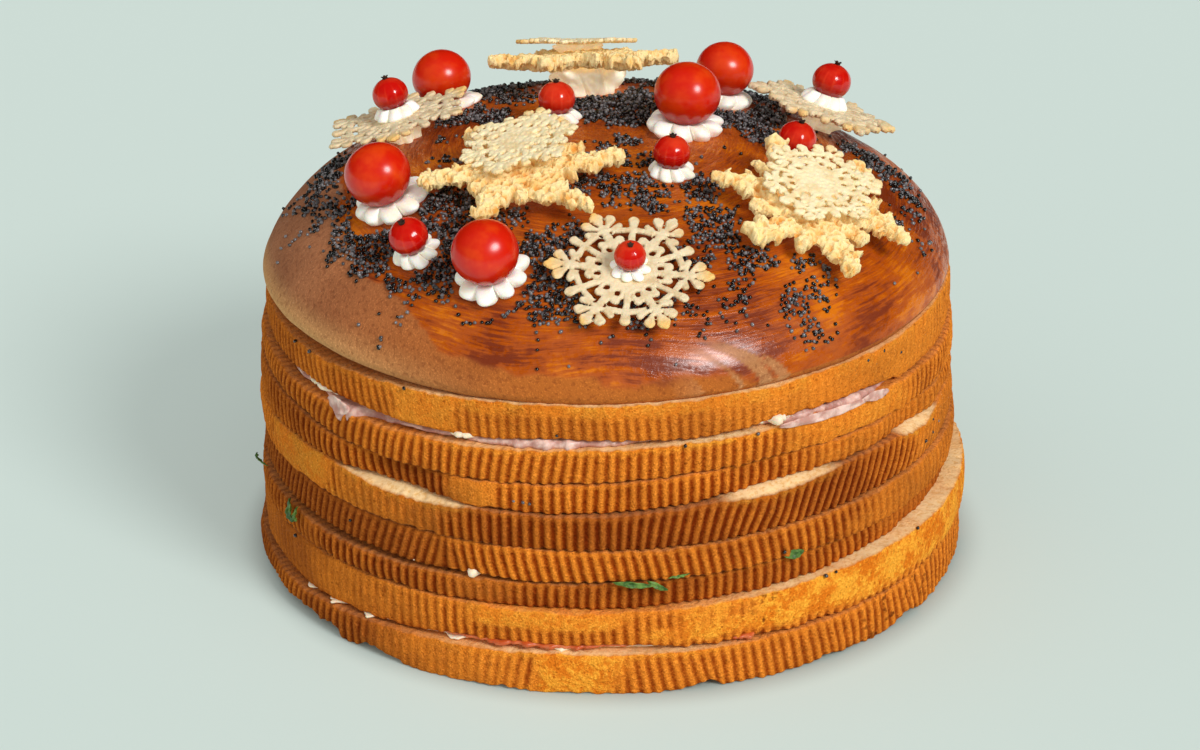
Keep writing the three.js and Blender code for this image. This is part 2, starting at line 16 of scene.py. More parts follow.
import bpy
import numpy as np
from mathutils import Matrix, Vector

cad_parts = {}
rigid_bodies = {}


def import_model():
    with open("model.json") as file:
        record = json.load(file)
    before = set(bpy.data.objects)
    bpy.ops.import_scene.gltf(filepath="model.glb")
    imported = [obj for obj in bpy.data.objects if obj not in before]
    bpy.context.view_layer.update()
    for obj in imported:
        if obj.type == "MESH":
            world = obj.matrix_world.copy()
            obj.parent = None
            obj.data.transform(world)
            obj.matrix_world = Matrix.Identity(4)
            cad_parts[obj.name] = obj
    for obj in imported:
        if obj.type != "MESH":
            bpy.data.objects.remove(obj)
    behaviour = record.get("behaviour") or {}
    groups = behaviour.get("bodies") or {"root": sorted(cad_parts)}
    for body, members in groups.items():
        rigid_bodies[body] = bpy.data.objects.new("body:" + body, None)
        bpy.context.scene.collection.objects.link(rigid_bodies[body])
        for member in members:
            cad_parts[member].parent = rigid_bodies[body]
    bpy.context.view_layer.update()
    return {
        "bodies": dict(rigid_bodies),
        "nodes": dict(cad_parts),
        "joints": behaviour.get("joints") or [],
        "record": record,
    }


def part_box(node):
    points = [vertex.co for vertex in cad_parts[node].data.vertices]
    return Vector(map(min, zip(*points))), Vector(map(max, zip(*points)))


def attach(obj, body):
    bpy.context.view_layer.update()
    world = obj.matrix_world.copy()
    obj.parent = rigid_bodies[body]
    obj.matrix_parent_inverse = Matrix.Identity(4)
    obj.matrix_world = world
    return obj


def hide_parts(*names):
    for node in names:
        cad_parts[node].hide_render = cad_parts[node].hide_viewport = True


Array = np.ndarray
Material = bpy.types.Material
Colour = tuple[float, float, float]
Stops = tuple[tuple[float, float], ...]

MM = 0.001
TURN = 2 * np.pi
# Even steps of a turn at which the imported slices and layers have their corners
LOAF_STEPS = 60
BAND_RADIUS = 88.3 * MM
DOME_REACH = 88.6 * MM
# Large odd numbers and shifts that mix the bits of a lattice corner and a seed
HASH_AXES = np.array([73856093, 19349663, 83492791])
HASH_SEED = 49979687
HASH_ROUNDS = ((13, 1274126177), (16, 668265263))

log = logging.getLogger("panettone")


def tone(red: int, green: int, blue: int) -> Colour:
    """A screen colour as the linear values that shaders take.

    Args:
        red: screen value from 0 to 255.
        green: the same for green.
        blue: the same for blue.

    Returns:
        Linear values from 0 to 1.
    """
    screen = np.array([red, green, blue]) / 255
    linear = np.where(screen <= 0.04045, screen / 12.92, ((screen + 0.055) / 1.055) ** 2.4)
    return tuple(float(part) for part in linear)


# Shader expressions


class Socket:
    """A shader output that takes part in Python arithmetic."""

    def __init__(self, graph: Graph, output: bpy.types.NodeSocket) -> None:
        """Holds an output and the graph that it is in."""
        self.graph = graph
        self.output = output

    def __add__(self, other: Socket | float) -> Socket:
        """The sum of this number and another."""
        return self.graph.maths("ADD", self, other)

    def __sub__(self, other: Socket | float) -> Socket:
        """This number less another."""
        return self.graph.maths("SUBTRACT", self, other)

    def __rsub__(self, other: float) -> Socket:
        """A plain number less this one."""
        return self.graph.maths("SUBTRACT", other, self)

    def __mul__(self, other: Socket | float) -> Socket:
        """The product of this number and another."""
        return self.graph.maths("MULTIPLY", self, other)

    __radd__ = __add__


Plug = Socket | float | Colour


class Graph:
    """A material's node tree, built by expressions."""

    def __init__(self, name: str) -> None:
        """Starts an empty material.

        Args:
            name: the material's name.
        """
        self.material = bpy.data.materials.new(name)
        self.material.use_nodes = True
        self.tree = self.material.node_tree
        self.tree.nodes.clear()

    def node(
        self,
        kind: str,
        settings: dict[str, object] | None = None,
        sockets: dict[str | int, Plug] | None = None,
        output: int = 0,
    ) -> Socket:
        """Adds one node.

        Args:
            kind: the node's type without the common prefix.
            settings: properties of the node, set before its sockets.
            sockets: values or links by socket name or number.
            output: number of the output that is handed back.

        Returns:
            The chosen output.
        """
        made = self.tree.nodes.new("ShaderNode" + kind)
        for name, value in (settings or {}).items():
            setattr(made, name, value)
        for key, value in (sockets or {}).items():
            self.plug(made.inputs[key], value)
        return Socket(self, made.outputs[output])

    def plug(self, target: bpy.types.NodeSocket, value: Plug) -> None:
        """Links an expression to a socket, or sets a constant on it.

        Args:
            target: the socket.
            value: the expression or constant.
        """
        if isinstance(value, Socket):
            self.tree.links.new(value.output, target)
        elif target.type == "RGBA":
            target.default_value = (*value, 1.0)
        else:
            target.default_value = value

    def maths(self, operation: str, first: Plug, second: Plug) -> Socket:
        """One step of arithmetic on two numbers."""
        return self.node("Math", {"operation": operation}, {0: first, 1: second})

    def place(self) -> Socket:
        """The point on the surface in the object's own coordinates."""
        return self.node("TexCoord", output=3)

    def attribute(self, name: str) -> Socket:
        """A number stored on the mesh's points."""
        return self.node("Attribute", {"attribute_name": name}, output=2)

    def direction(self, name: str) -> Socket:
        """A vector stored on the mesh's points."""
        return self.node("Attribute", {"attribute_name": name}, output=1)

    def noise(self, vector: Socket, scale: float, detail: float = 2.0, rough: float = 0.5) -> Socket:
        """Cloudy noise from 0 to 1, with scale cells to a unit of the vector."""
        return self.node(
            "TexNoise", None, {"Vector": vector, "Scale": scale, "Detail": detail, "Roughness": rough}
        )

    def ease(self, value: Plug, low: float, high: float) -> Socket:
        """Runs smoothly from 0 at low to 1 at high."""
        sockets = {0: value, 1: low, 2: high, 3: 0.0, 4: 1.0}
        return self.node("MapRange", {"interpolation_type": "SMOOTHSTEP"}, sockets)

    def blend(self, factor: Plug, first: Plug, second: Plug, how: str = "MIX") -> Socket:
        """Mixes two colours."""
        settings = {"data_type": "RGBA", "blend_type": how}
        return self.node("Mix", settings, {0: factor, 6: first, 7: second}, output=2)

    def bump(self, height: Socket, distance: float, strength: float = 1.0) -> Socket:
        """A normal that follows a fine relief."""
        return self.node("Bump", None, {"Strength": strength, "Distance": distance, "Height": height})

    def finish(self, **sockets: Plug) -> Material:
        """Ends the material with the standard shader.

        Args:
            sockets: values by the shader's socket names, with underscores for spaces.

        Returns:
            The finished material.
        """
        named = {name.replace("_", " "): value for name, value in sockets.items()}
        shader = self.node("BsdfPrincipled", None, named)
        output = self.tree.nodes.new("ShaderNodeOutputMaterial")
        self.plug(output.inputs["Surface"], shader)
        return self.material


# Numbers on whole arrays


def ease(value: Array, low: float, high: float) -> Array:
    """Runs smoothly from 0 at low to 1 at high."""
    share = np.clip((value - low) / (high - low), 0, 1)
    return share * share * (3 - 2 * share)


def swell(offset: Array, width: float) -> Array:
    """A round bump: 1 in the middle, 0 at the width and beyond."""
    share = np.clip(np.abs(offset) / width, 0, 1)
    return (1 + np.cos(np.pi * share)) / 2


def apart(angles: Array, middle: float) -> Array:
    """How far angles in degrees lie from a middle, from -180 to 180."""
    return (angles - middle + 180) % 360 - 180


def lattice_value(corner: Array, seed: int) -> Array:
    """A repeatable random number for each corner of a lattice, from its mixed bits.

    Args:
        corner: three whole numbers along the last axis.
        seed: number of the random field.

    Returns:
        A value from 0 to 1 for each corner.
    """
    mixed = corner @ HASH_AXES + seed * HASH_SEED
    for shift, factor in HASH_ROUNDS:
        mixed = (mixed ^ (mixed >> shift)) * factor
    return ((mixed >> 15) & 0xFFFF) / 0xFFFF


def lattice_noise(points: Array, cell: float, seed: int) -> Array:
    """Random values at the corners of a cubic lattice, eased in between.

    Args:
        points: places, with x, y and z along the last axis.
        cell: width of the lattice's cells.
        seed: number of the random field.

    Returns:
        A value from 0 to 1 for each place.
    """
    scaled = points.reshape(-1, 3) / cell
    corner = np.floor(scaled).astype(np.int64)
    share = scaled - corner
    eased = share * share * (3 - 2 * share)
    total = np.zeros(len(scaled))
    for step in np.ndindex(2, 2, 2):
        weight = np.prod(np.where(np.array(step) == 1, eased, 1 - eased), axis=1)
        total += weight * lattice_value(corner + np.array(step), seed)
    return total.reshape(points.shape[:-1])


def cell_distance(points: Array, cell: float, seed: int) -> Array:
    """Distance to the nearest of random points, one in each square cell, as a share of the cell.

    Args:
        points: places on a plane, with x and y along the last axis.
        cell: width of the cells.
        seed: number of the random field.

    Returns:
        A share for each place, 0 at the random points.
    """
    scaled = points / cell
    corner = np.floor(scaled).astype(np.int64)
    nearest = np.full(scaled.shape[:-1], np.inf)
    for step in np.ndindex(3, 3):
        square = corner + np.array(step) - 1
        number = np.concatenate([square, np.zeros_like(square[..., :1])], axis=-1)
        spot = np.stack([lattice_value(number, seed), lattice_value(number, seed + 1)], axis=-1)
        nearest = np.minimum(nearest, np.linalg.norm(square + spot - scaled, axis=-1))
    return nearest


def rough_noise(points: Array, cell: float, seed: int, octaves: int) -> Array:
    """Lattice noise summed over cells that halve each time.

    Args:
        points: places, with x, y and z along the last axis.
        cell: width of the largest cells.
        seed: number of the first random field.
        octaves: how many fields are summed.

    Returns:
        A value from 0 to 1 for each place.
    """
    weights = 0.5 ** np.arange(octaves)
    layers = [lattice_noise(points, cell * weight, seed + i) for i, weight in enumerate(weights)]
    return np.tensordot(weights, np.array(layers), axes=1) / weights.sum()


def uneven(points: Array, cell: float, seed: int, octaves: int = 1) -> Array:
    """Rough noise about 0, from -0.5 to 0.5."""
    return rough_noise(points, cell, seed, octaves) - 0.5


def series(samples: Array, angles: Array) -> Array:
    """Values given at even steps of a turn, read at any angle from their Fourier series.

    Args:
        samples: values at the steps.
        angles: where to read, in radians.

    Returns:
        A value for each angle.
    """
    waves = np.fft.rfft(samples) / len(samples)
    order = np.arange(len(waves))
    weight = np.where((order == 0) | (2 * order == len(samples)), 1, 2)
    return (weight * waves * np.exp(1j * angles[:, None] * order)).real.sum(axis=1)


def along(stops: Stops, degrees: Array) -> Array:
    """Values between stops that are given at angles in degrees round the loaf."""
    return np.interp(apart(degrees, 0), *np.array(stops).T, period=360)


def turns(count: int) -> Array:
    """Even steps of one turn in radians."""
    return np.arange(count) * TURN / count


def around(angles: Array, reach: Array, height: Array, middle: Sequence[float] = (0.0, 0.0)) -> Array:
    """Points round a middle on the floor plane.

    Args:
        angles: angles from the front towards +X, in radians.
        reach: distances from the middle.
        height: heights.
        middle: x and y of the middle.

    Returns:
        The points, with x, y and z along the last axis.
    """
    x = middle[0] + reach * np.sin(angles)
    y = middle[1] - reach * np.cos(angles)
    return np.stack(np.broadcast_arrays(x, y, height), axis=-1)


def step_numbers(points: Array) -> Array:
    """The number of the loaf's even step at which each point stands, for points round its middle."""
    angles = np.arctan2(points[:, 0], -points[:, 1])
    return np.round(angles / TURN * LOAF_STEPS).astype(int) % LOAF_STEPS


def turned(reach: Array, angles: Array, height: Array) -> Array:
    """Points of a turned form, from their reach, height and angle counter-clockwise from x."""
    return np.stack(np.broadcast_arrays(reach * np.cos(angles), reach * np.sin(angles), height), axis=-1)


def flat(x: Array, y: Array) -> Array:
    """Points of a plane as points in space."""
    return np.stack(np.broadcast_arrays(x, y, 0.0), axis=-1)


# Surfaces


@dataclass
class Surface:
    """Points, faces and stored numbers of a mesh in the making."""

    points: Array
    quads: Array
    triangles: Array
    values: dict[str, Array] = field(default_factory=dict)

    @classmethod
    def ring(cls, grid: Array, values: dict[str, Array] | None = None) -> Surface:
        """A closed surface from rows of points that each run once round.

        Args:
            grid: rows by columns by 3. Rows run bottom to top, columns counter-clockwise from above.
            values: numbers or vectors for every point of the grid.

        Returns:
            The rows joined by quads, with a fan to the middle of the first and the last row.
        """
        rows, columns = grid.shape[:2]
        index = np.arange(rows * columns).reshape(rows, columns)
        beside = np.roll(index, -1, axis=1)
        quads = np.stack([index[:-1], beside[:-1], beside[1:], index[1:]], axis=-1).reshape(-1, 4)
        low = np.full(columns, rows * columns)
        high = low + 1
        fans = [
            np.stack([beside[0], index[0], low], axis=-1),
            np.stack([index[-1], beside[-1], high], axis=-1),
        ]
        stored = {name: cls.with_poles(part) for name, part in (values or {}).items()}
        return cls(cls.with_poles(grid), quads, np.concatenate(fans), stored)

    @staticmethod
    def with_poles(part: Array) -> Array:
        """A grid's numbers in one list, with the means of its first and last row at the end."""
        poles = np.array([part[0].mean(axis=0), part[-1].mean(axis=0)])
        return np.concatenate([part.reshape(-1, *part.shape[2:]), poles])

    @classmethod
    def joined(cls, surfaces: Sequence[Surface]) -> Surface:
        """Several surfaces as one.

        Args:
            surfaces: parts that all store the same kinds of number.

        Returns:
            The parts in one surface, not merged where they touch.
        """
        starts = np.cumsum([0] + [len(part.points) for part in surfaces[:-1]])
        return cls(
            np.concatenate([part.points for part in surfaces]),
            np.concatenate([part.quads + start for part, start in zip(surfaces, starts)]),
            np.concatenate([part.triangles + start for part, start in zip(surfaces, starts)]),
            {name: np.concatenate([part.values[name] for part in surfaces]) for name in surfaces[0].values},
        )

    def piece(self, name: str, material: Material, slot: str, *nodes: str) -> None:
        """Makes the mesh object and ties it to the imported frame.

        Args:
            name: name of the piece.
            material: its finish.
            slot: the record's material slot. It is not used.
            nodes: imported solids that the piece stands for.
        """
        mesh = bpy.data.meshes.new(name)
        mesh.vertices.add(len(self.points))
        mesh.vertices.foreach_set("co", self.points.astype(np.float32).ravel())
        corners = np.concatenate([self.quads.ravel(), self.triangles.ravel()])
        sides = np.concatenate([np.full(len(self.quads), 4), np.full(len(self.triangles), 3)])
        mesh.loops.add(len(corners))
        mesh.loops.foreach_set("vertex_index", corners.astype(np.int32))
        mesh.polygons.add(len(sides))
        starts = np.concatenate([[0], np.cumsum(sides)[:-1]])
        mesh.polygons.foreach_set("loop_start", starts.astype(np.int32))
        for label, numbers in self.values.items():
            kind = "FLOAT" if numbers.ndim == 1 else "FLOAT_VECTOR"
            stored = mesh.attributes.new(label, kind, "POINT")
            field_name = "value" if numbers.ndim == 1 else "vector"
            stored.data.foreach_set(field_name, numbers.astype(np.float32).ravel())
        mesh.update(calc_edges=True)
        mesh.validate()
        mesh.shade_smooth()
        mesh.materials.append(material)
        made = bpy.data.objects.new(name, mesh)
        bpy.context.scene.collection.objects.link(made)
        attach(made, "root")
        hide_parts(*nodes)
        log.info("%s: %d points, %d faces", name, len(self.points), len(sides))


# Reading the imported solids


class Solid:
    """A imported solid's own corners."""

    def __init__(self, frame: dict, name: str) -> None:
        """Reads the corners, each once.

        Args:
            frame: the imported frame.
            name: node of the solid.
        """
        mesh = frame["nodes"][name].data
        places = np.empty(3 * len(mesh.vertices))
        mesh.vertices.foreach_get("co", places)
        self.points = np.unique(np.round(places.reshape(-1, 3), 7), axis=0)

    def middle(self) -> Array:
        """The mean of the corners."""
        return self.points.mean(axis=0)

    def axis(self) -> Array:
        """Finds in which direction a flat solid is thinnest.

        Returns:
            The upward unit vector.
        """
        spread = self.points - self.middle()
        thinnest = np.linalg.svd(spread, full_matrices=False)[2][2]
        return thinnest * np.sign(thinnest[2])


@dataclass
class Stand:
    """A local frame on the dome: an origin, an upward axis, and a turn about it in radians."""

    origin: Array
    up: Array
    turn: float = 0.0

    def axes(self) -> Array:
        """Works out the local directions. Before the turn, x lies over the world's X.

        Returns:
            x, y and z as rows.
        """
        right = np.array([1.0, 0.0, 0.0])
        right = right - self.up * (right @ self.up)
        right /= np.linalg.norm(right)
        back = np.cross(self.up, right)
        cosine, sine = np.cos(self.turn), np.sin(self.turn)
        return np.stack([right * cosine + back * sine, back * cosine - right * sine, self.up])

    def place(self, points: Array) -> Array:
        """Local points in the shared frame."""
        return self.origin + points @ self.axes()

    def local(self, points: Array) -> Array:
        """Points of the shared frame in local ones."""
        return (points - self.origin) @ self.axes().T


@dataclass
class Outline:
    """A slice's side: its middle on the floor plane, and its radius, foot and top round a turn."""

    middle: Array
    radius: Array
    low: Array
    high: Array

    @classmethod
    def of_slice(cls, solid: Solid) -> Outline:
        """Reads a slice, whose corners are two middles and three rings of even steps.

        Args:
            solid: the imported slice.

        Returns:
            The outline at those steps.
        """
        box_middle = (solid.points.min(axis=0) + solid.points.max(axis=0)) / 2
        reach = np.hypot(*(solid.points - box_middle)[:, :2].T)
        middle = solid.points[np.argsort(reach)[:2]].mean(axis=0)
        points = solid.points[np.argsort(reach)[2:]] - middle
        order = np.lexsort([points[:, 2], step_numbers(points)])
        rings = points[order].reshape(LOAF_STEPS, 3, 3)
        radius = np.hypot(rings[:, 1, 0], rings[:, 1, 1])
        return cls(middle[:2], radius, rings[:, 0, 2] + middle[2], rings[:, 2, 2] + middle[2])

    def at(self, angles: Array) -> tuple[Array, ...]:
        """Radius, foot and top at any angles in radians."""
        return tuple(series(part, angles) for part in (self.radius, self.low, self.high))


# Finishes


@dataclass(frozen=True)
class CrustFinish:
    """Browned crust with dark valleys, golden smooth stretches and pale crumb on torn faces. The dark
    valleys are partly painted shade in the ridges' hollows, the brown is partly painted shade away
    from the light and under each slice, and the gold is partly a painted highlight along the top edge.

    browned, grain_light and grain_dark are factors on the colour below them.
    """

    valley: Colour = tone(142, 53, 5)
    crest: Colour = tone(237, 137, 42)
    brown_and_shade_tint: Colour = (0.5, 0.43, 0.56)
    gold: Colour = tone(252, 170, 52)
    amber: Colour = tone(224, 118, 24)
    crumb: Colour = tone(253, 218, 162)
    crumb_shade: Colour = tone(236, 186, 116)
    grain_light: Colour = (1.32, 1.42, 1.75)
    grain_dark: Colour = (0.58, 0.5, 0.44)
    scorch: Colour = tone(88, 30, 8)

    def material(self) -> Material:
        """Makes the finish, which reads the stored ridge, gold, crumb, scorch and brown.

        Returns:
            The material.
        """
        graph = Graph("crust")
        place = graph.place()
        fine = graph.noise(place, 2000.0, 2.0, 0.6)
        grain = graph.noise(place, 800.0, 3.0, 0.65)
        cloud = graph.noise(place, 110.0, 4.0, 0.65)
        crumb_share = graph.attribute("crumb")
        # The valley colour is partly painted shade: the ridges' hollows are darkened, more where the ridges
        # are deeper.
        ridge = graph.attribute("ridge") + (grain - 0.5) * 0.6 + (fine - 0.5) * 0.25
        ridge = graph.ease(ridge, -0.08, 1.08)
        colour = graph.blend(ridge, self.valley, self.crest)
        mottled = graph.blend(graph.ease(cloud + (grain - 0.5) * 0.6, 0.36, 0.64), self.amber, self.gold)
        # gold also lightens a painted highlight along each slice's rounded top edge, beside the real golden
        # stretches.
        colour = graph.blend(graph.attribute("gold") * (0.35 + ridge * 0.65), colour, mottled)
        # The brown tint darkens the crust's own brown, and paints shade on the side away from the light and
        # on the faces under each slice.
        dark = graph.attribute("brown") + (cloud - 0.5) * 1.1 + (grain - 0.5) * 0.6
        colour = graph.blend(graph.ease(dark, 0.0, 1.0), colour, self.brown_and_shade_tint, "MULTIPLY")
        lit = graph.ease(fine + (grain - 0.5) * 0.5, 0.52, 0.72)
        colour = graph.blend(lit, colour, self.grain_light, "MULTIPLY")
        colour = graph.blend(graph.ease(fine, 0.45, 0.28) * 0.8, colour, self.grain_dark, "MULTIPLY")
        pit = graph.ease(graph.noise(place, 700.0, 2.0, 0.5), 0.64, 0.74)
        colour = graph.blend(pit * 0.8, colour, self.grain_dark, "MULTIPLY")
        spot = graph.ease(graph.noise(place, 420.0, 2.0, 0.5), 0.56, 0.7) * graph.attribute("scorch")
        colour = graph.blend(spot * 0.8, colour, self.scorch)
        crumb = graph.blend(graph.ease(grain, 0.3, 0.55), self.crumb_shade, self.crumb)
        colour = graph.blend(crumb_share, colour, crumb)
        relief = (grain + fine * 0.5) * (1.0 - crumb_share * 0.7)
        return graph.finish(
            Base_Color=colour,
            Roughness=0.85,
            Specular_IOR_Level=0.04,
            Normal=graph.bump(relief, 0.8 * MM, 0.9),
        )


@dataclass(frozen=True)
class DomeFinish:
    """A dome brushed with glaze over a matte crust that pales towards its lip.

    speck_light and speck_dark are factors on the matte crust's colour.
    """

    deep: Colour = tone(124, 44, 4)
    amber: Colour = tone(176, 78, 8)
    bright: Colour = tone(212, 112, 16)
    mauve: Colour = tone(172, 112, 74)
    umber: Colour = tone(180, 98, 32)
    lip: Colour = tone(220, 166, 104)
    speck_light: Colour = (1.5, 1.6, 1.75)
    speck_dark: Colour = (0.7, 0.62, 0.58)

    def material(self) -> Material:
        """Makes the finish, which reads the stored glaze, pool, shine, lip, warm and brush.

        Returns:
            The material.
        """
        graph = Graph("glazed_dome")
        place = graph.place()
        fine = graph.noise(place, 2200.0, 2.0, 0.6)
        grain = graph.noise(place, 800.0, 2.0, 0.6)
        cloud = graph.noise(place, 45.0, 4.0, 0.6)
        brush = graph.direction("brush")
        streak = graph.noise(brush, 6.0, 5.0, 0.65)
        bristle = graph.noise(brush, 22.0, 3.0, 0.6)
        puddle = graph.attribute("pool") * graph.ease(graph.noise(place, 170.0, 4.0, 0.6), 0.42, 0.56)
        amount = streak * 0.6 + (cloud - 0.5) * 0.9 + (bristle - 0.5) * 0.75 - puddle * 0.12 + 0.2
        glazed = graph.blend(graph.ease(amount, 0.26, 0.5), self.deep, self.amber)
        glazed = graph.blend(graph.ease(amount, 0.5, 0.72), glazed, self.bright)
        # Mauve on the left of the matte crust: partly the dusty unglazed crust, partly painted cool shade on
        # the side away from the light.
        matte = graph.blend(graph.attribute("warm"), self.mauve, self.umber)
        matte = graph.blend(graph.ease(cloud, 0.6, 0.35) * 0.6, matte, self.speck_dark, "MULTIPLY")
        matte = graph.blend(graph.attribute("lip"), matte, self.lip)
        matte = graph.blend(graph.ease(fine, 0.54, 0.68) * 0.7, matte, self.speck_light, "MULTIPLY")
        matte = graph.blend(graph.ease(grain, 0.5, 0.3) * 0.8, matte, self.speck_dark, "MULTIPLY")
        glaze = graph.attribute("glaze")
        colour = graph.blend(glaze, matte, glazed)
        broken = (bristle - 0.5) * 0.7 + (grain - 0.5) * 0.7
        shine = graph.attribute("shine")
        wet = graph.ease(streak + broken + shine * 0.3, 0.42, 0.62)
        height = (grain + fine * 0.5) * (1.0 - glaze * 0.7) + (streak * 0.8 + bristle * 0.5) * glaze
        return graph.finish(
            Base_Color=colour,
            Roughness=0.9 - glaze * (0.35 + wet * 0.35),
            Coat_Weight=glaze * wet * shine * 0.75,
            Coat_Roughness=0.26,
            Specular_IOR_Level=0.26,
            Normal=graph.bump(height, 0.45 * MM, 0.8),
        )


@dataclass(frozen=True)
class CreamFinish:
    """Soft white cheese cream. glow is a painted light of its own, which lightens it where it lies in shade.
    """

    name: str
    light: Colour
    warm: Colour
    glow: float = 0.08

    def material(self) -> Material:
        """Makes the finish.

        Returns:
            The material.
        """
        graph = Graph(self.name)
        cloud = graph.noise(graph.place(), 260.0, 3.0, 0.6)
        colour = graph.blend(graph.ease(cloud, 0.4, 0.8), self.light, self.warm)
        return graph.finish(
            Base_Color=colour,
            Roughness=0.45,
            Subsurface_Weight=0.3,
            Subsurface_Scale=1.5 * MM,
            # Painted light: the cream glows a little of its own, and the dabs under the flakes more.
            Emission_Color=self.warm,
            Emission_Strength=self.glow,
            Normal=graph.bump(cloud, 0.15 * MM, 0.4),
        )


@dataclass(frozen=True)
class FruitFinish:
    """The smooth red skin of a tomato or a currant, with paler meridians.

    veins is how much the meridians show, depth the share of light that enters the flesh, and shade a
    painted shade that darkens the underside.
    """

    name: str
    skin: Colour
    pale: Colour
    shade: Colour
    veins: float
    rough: float
    depth: float

    def material(self) -> Material:
        """Makes the finish, which reads the stored vein and base.

        Returns:
            The material.
        """
        graph = Graph(self.name)
        cloud = graph.noise(graph.place(), 120.0, 3.0, 0.6)
        vein = graph.attribute("vein") * self.veins + graph.ease(cloud, 0.4, 0.7) * 0.6
        colour = graph.blend(vein, self.skin, self.pale)
        # Painted shade: the skin darkens towards its underside, where base is high.
        colour = graph.blend(graph.attribute("base") * 0.8, colour, self.shade)
        return graph.finish(
            Base_Color=colour,
            Roughness=self.rough,
            Specular_IOR_Level=0.5,
            Subsurface_Weight=self.depth,
            Subsurface_Radius=(1.0, 0.2, 0.1),
            Subsurface_Scale=1.5 * MM,
        )


@dataclass(frozen=True)
class WaferFinish:
    """Thin lace of baked cheese, ivory with toasted tips."""

    name: str
    ivory: Colour
    shade: Colour
    toast: Colour = tone(244, 196, 112)

    def material(self) -> Material:
        """Makes the finish, which reads the stored toast.

        Returns:
            The material.
        """
        graph = Graph(self.name)
        place = graph.place()
        cloud = graph.noise(place, 330.0, 3.0, 0.6)
        grain = graph.noise(place, 1600.0, 2.0, 0.6)
        colour = graph.blend(graph.ease(cloud, 0.4, 0.7), self.ivory, self.shade)
        colour = graph.blend(graph.attribute("toast"), colour, self.toast)
        return graph.finish(
            Base_Color=colour,
            Roughness=0.6,
            Subsurface_Weight=0.15,
            Subsurface_Scale=0.8 * MM,
            Normal=graph.bump(cloud + grain * 0.5, 0.3 * MM, 0.8),
        )


@dataclass(frozen=True)
class BreadFinish:
    """Torn bread crumb, pale on its outer fibres and amber in its pits, where the amber is painted shade in
    the pores, with a faint painted glow.
    """

    pale: Colour = tone(255, 229, 168)
    warm: Colour = tone(252, 206, 126)
    pit: Colour = tone(224, 152, 58)

    def material(self) -> Material:
        """Makes the finish, which reads the stored pit.

        Returns:
            The material.
        """
        graph = Graph("bread")
        place = graph.place()
        cloud = graph.noise(place, 240.0, 3.0, 0.6)
        grain = graph.noise(place, 1300.0, 3.0, 0.65)
        colour = graph.blend(graph.ease(cloud, 0.42, 0.72), self.pale, self.warm)
        # Painted shade: the pores are darkened to amber.
        colour = graph.blend(graph.attribute("pit") * graph.ease(cloud, 0.35, 0.65), colour, self.pit)
        return graph.finish(
            Base_Color=colour,
            Roughness=0.82,
            Specular_IOR_Level=0.2,
            Subsurface_Weight=0.12,
            Subsurface_Scale=0.9 * MM,
            # Painted light: a faint glow of its own.
            Emission_Color=self.warm,
            Emission_Strength=0.08,
            Normal=graph.bump(grain, 0.5 * MM, 0.9),
        )


@dataclass(frozen=True)
class SeedFinish:
    """Poppy seeds of one kind, each a little lighter or darker."""

    name: str
    dark: Colour
    light: Colour

    def material(self) -> Material:
        """Makes the finish, which reads the stored shade.

        Returns:
            The material.
        """
        graph = Graph(self.name)
        mottle = graph.ease(graph.noise(graph.place(), 2600.0, 1.0, 0.5), 0.35, 0.75)
        colour = graph.blend(graph.attribute("shade") * 0.7 + mottle * 0.3, self.dark, self.light)
        return graph.finish(Base_Color=colour, Roughness=0.17, Specular_IOR_Level=0.9)


@dataclass(frozen=True)
class FillingFinish:
    """A moist filling of two mottled colours. scale is the mottling's cells to a metre."""

    name: str
    first: Colour
    second: Colour
    scale: float
    rough: float = 0.4

    def material(self) -> Material:
        """Makes the finish.

        Returns:
            The material.
        """
        graph = Graph(self.name)
        cloud = graph.noise(graph.place(), self.scale, 3.0, 0.6)
        colour = graph.blend(graph.ease(cloud, 0.38, 0.66), self.first, self.second)
        return graph.finish(
            Base_Color=colour,
            Roughness=self.rough,
            Subsurface_Weight=0.1,
            Subsurface_Scale=0.6 * MM,
            Normal=graph.bump(cloud, 0.3 * MM, 0.5),
        )


@dataclass(frozen=True)
class FloorFinish:
    """The plain pale floor. A part of its light is its own, which keeps shadows on it pale.

    answer is the share of light that it gives back, and glow its own light, which fades out
    towards the foot's radius and so paints a dark contact shadow round the foot.
    """

    mint: Colour = tone(207, 222, 215)
    answer: float = 0.655
    glow: float = 0.39
    foot: float = 87 * MM
    fade: float = 14 * MM

    def material(self) -> Material:
        """Makes the finish. Close round the foot it has no light of its own, which paints a contact shadow
        there.

        Returns:
            The material.
        """
        graph = Graph("floor")
        away = graph.node("VectorMath", {"operation": "LENGTH"}, {0: graph.place()}, output=1)
        # Painted shadow: the floor's own light fades to nothing round the foot.
        glow = graph.blend(graph.ease(away, self.foot, self.foot + self.fade), (0.0, 0.0, 0.0), self.mint)
        return graph.finish(
            Base_Color=tuple(self.answer * part for part in self.mint),
            Roughness=1.0,
            Specular_IOR_Level=0.0,
            Emission_Color=glow,
            Emission_Strength=self.glow,
        )


